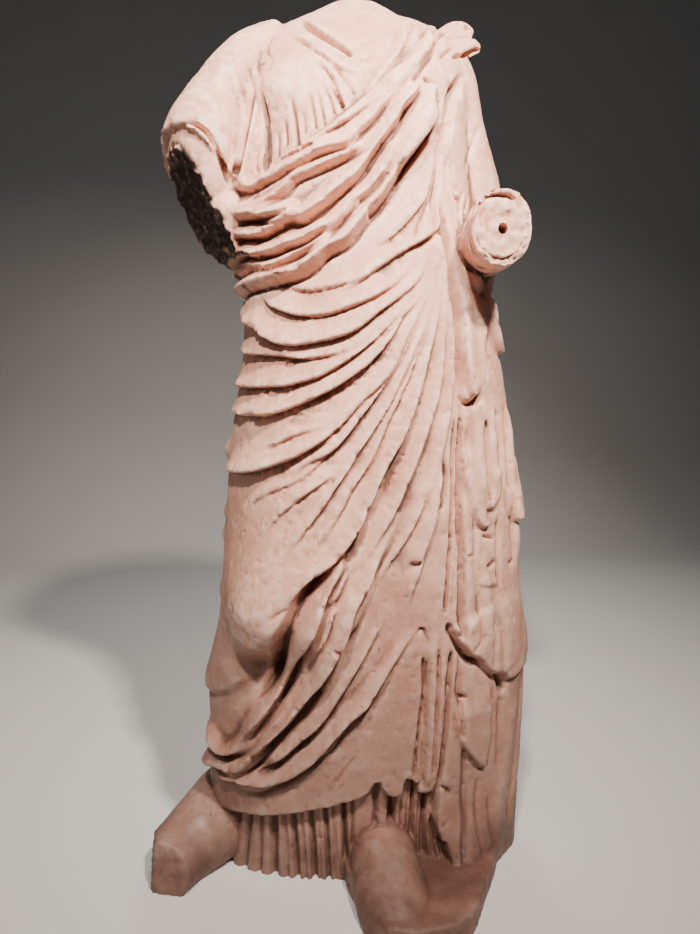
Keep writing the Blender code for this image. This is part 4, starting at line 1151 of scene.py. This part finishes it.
studio = {
    "cameraPlace": (-0.128, -1.1935, 0.78),
    "cameraDown": 4.17,
    "cameraTurn": -6.7,
    "lens": 26.98,
    "sensor": 36,                 # its long side, in mm
    "floor": (0.62, 0.62, 0.61, 1),
    "floorRoughness": 0.85,
    "floorWidth": 16,
    "floorLength": 15,
    "floorInFront": 4,            # how much of it lies on the camera's side
    "bendStart": 2.5,             # where it begins to curve up behind the statue
    "bendRadius": 1.5,
    "world": (0.50, 0.52, 0.56, 1),
    "worldStrength": 0.05,
    "lamps": (                    # place, height it points at, spread of its beam, watts, size, colour
        ((0.50, -1.50, 2.38), 1.18, 76, 22, 0.16, (1.0, 0.87, 0.77)),
        ((-0.35, -1.60, 2.38), 1.18, 76, 16, 0.16, (1.0, 0.87, 0.77)),
        ((-1.6, -1.6, 1.9), 0.80, 180, 6, 1.2, (0.97, 0.97, 1.0)),
        ((0.3, 2.2, 2.6), 0.80, 180, 24, 1.0, (1.0, 1.0, 1.0)),
    ),
}


def setStudio():
    camera = bpy.data.objects.new("camera", bpy.data.cameras.new("camera"))
    bpy.context.collection.objects.link(camera)
    camera.data.sensor_fit = "VERTICAL"
    camera.data.sensor_height = studio["sensor"]
    camera.data.lens = studio["lens"]
    camera.location = studio["cameraPlace"]
    camera.rotation_euler = (radians(90 - studio["cameraDown"]), 0, radians(studio["cameraTurn"]))
    bpy.context.scene.camera = camera
    for number, (place, level, spread, watts, size, colour) in enumerate(studio["lamps"]):
        lamp = bpy.data.lights.new("lamp%d" % number, "AREA")
        lamp.energy, lamp.size, lamp.color, lamp.spread = watts, size, colour, radians(spread)
        thing = bpy.data.objects.new(lamp.name, lamp)
        thing.location = place
        thing.rotation_euler = (Vector((0, 0, level)) - Vector(place)).to_track_quat("-Z", "Y").to_euler()
        bpy.context.collection.objects.link(thing)
    world = bpy.data.worlds.new("studio")
    world.use_nodes = True
    world.node_tree.nodes["Background"].inputs["Color"].default_value = studio["world"]
    world.node_tree.nodes["Background"].inputs["Strength"].default_value = studio["worldStrength"]
    bpy.context.scene.world = world


def makeFloor():
    # a pale floor that curves up into a backdrop
    def shape(turn, way):
        x = studio["floorWidth"] * (turn - 0.5)
        run = studio["floorLength"] * way - studio["floorInFront"]
        bend = np.clip(run - studio["bendStart"], 0, None)
        radius = studio["bendRadius"]
        curve = np.minimum(bend / radius, np.pi / 2)
        y = np.minimum(run, studio["bendStart"]) + radius * np.sin(curve)
        z = radius * (1 - np.cos(curve)) + np.clip(bend - radius * np.pi / 2, 0, None)
        return np.stack([x, y, z], -1)

    floor = wrapGrid("floor", shape, 8, 120)
    material = bpy.data.materials.new("paleFloor")
    material.use_nodes = True
    material.node_tree.nodes["Principled BSDF"].inputs["Base Color"].default_value = studio["floor"]
    material.node_tree.nodes["Principled BSDF"].inputs["Roughness"].default_value = studio["floorRoughness"]
    floor.data.materials.append(material)
    floor.data.shade_smooth()


setStudio()
makeFloor()
print("studio set")
statue = carveStatue()
statue.data.materials.clear()
statue.data.materials.append(makeMarble())
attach(statue, "root")
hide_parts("statue")
print("statue dressed")
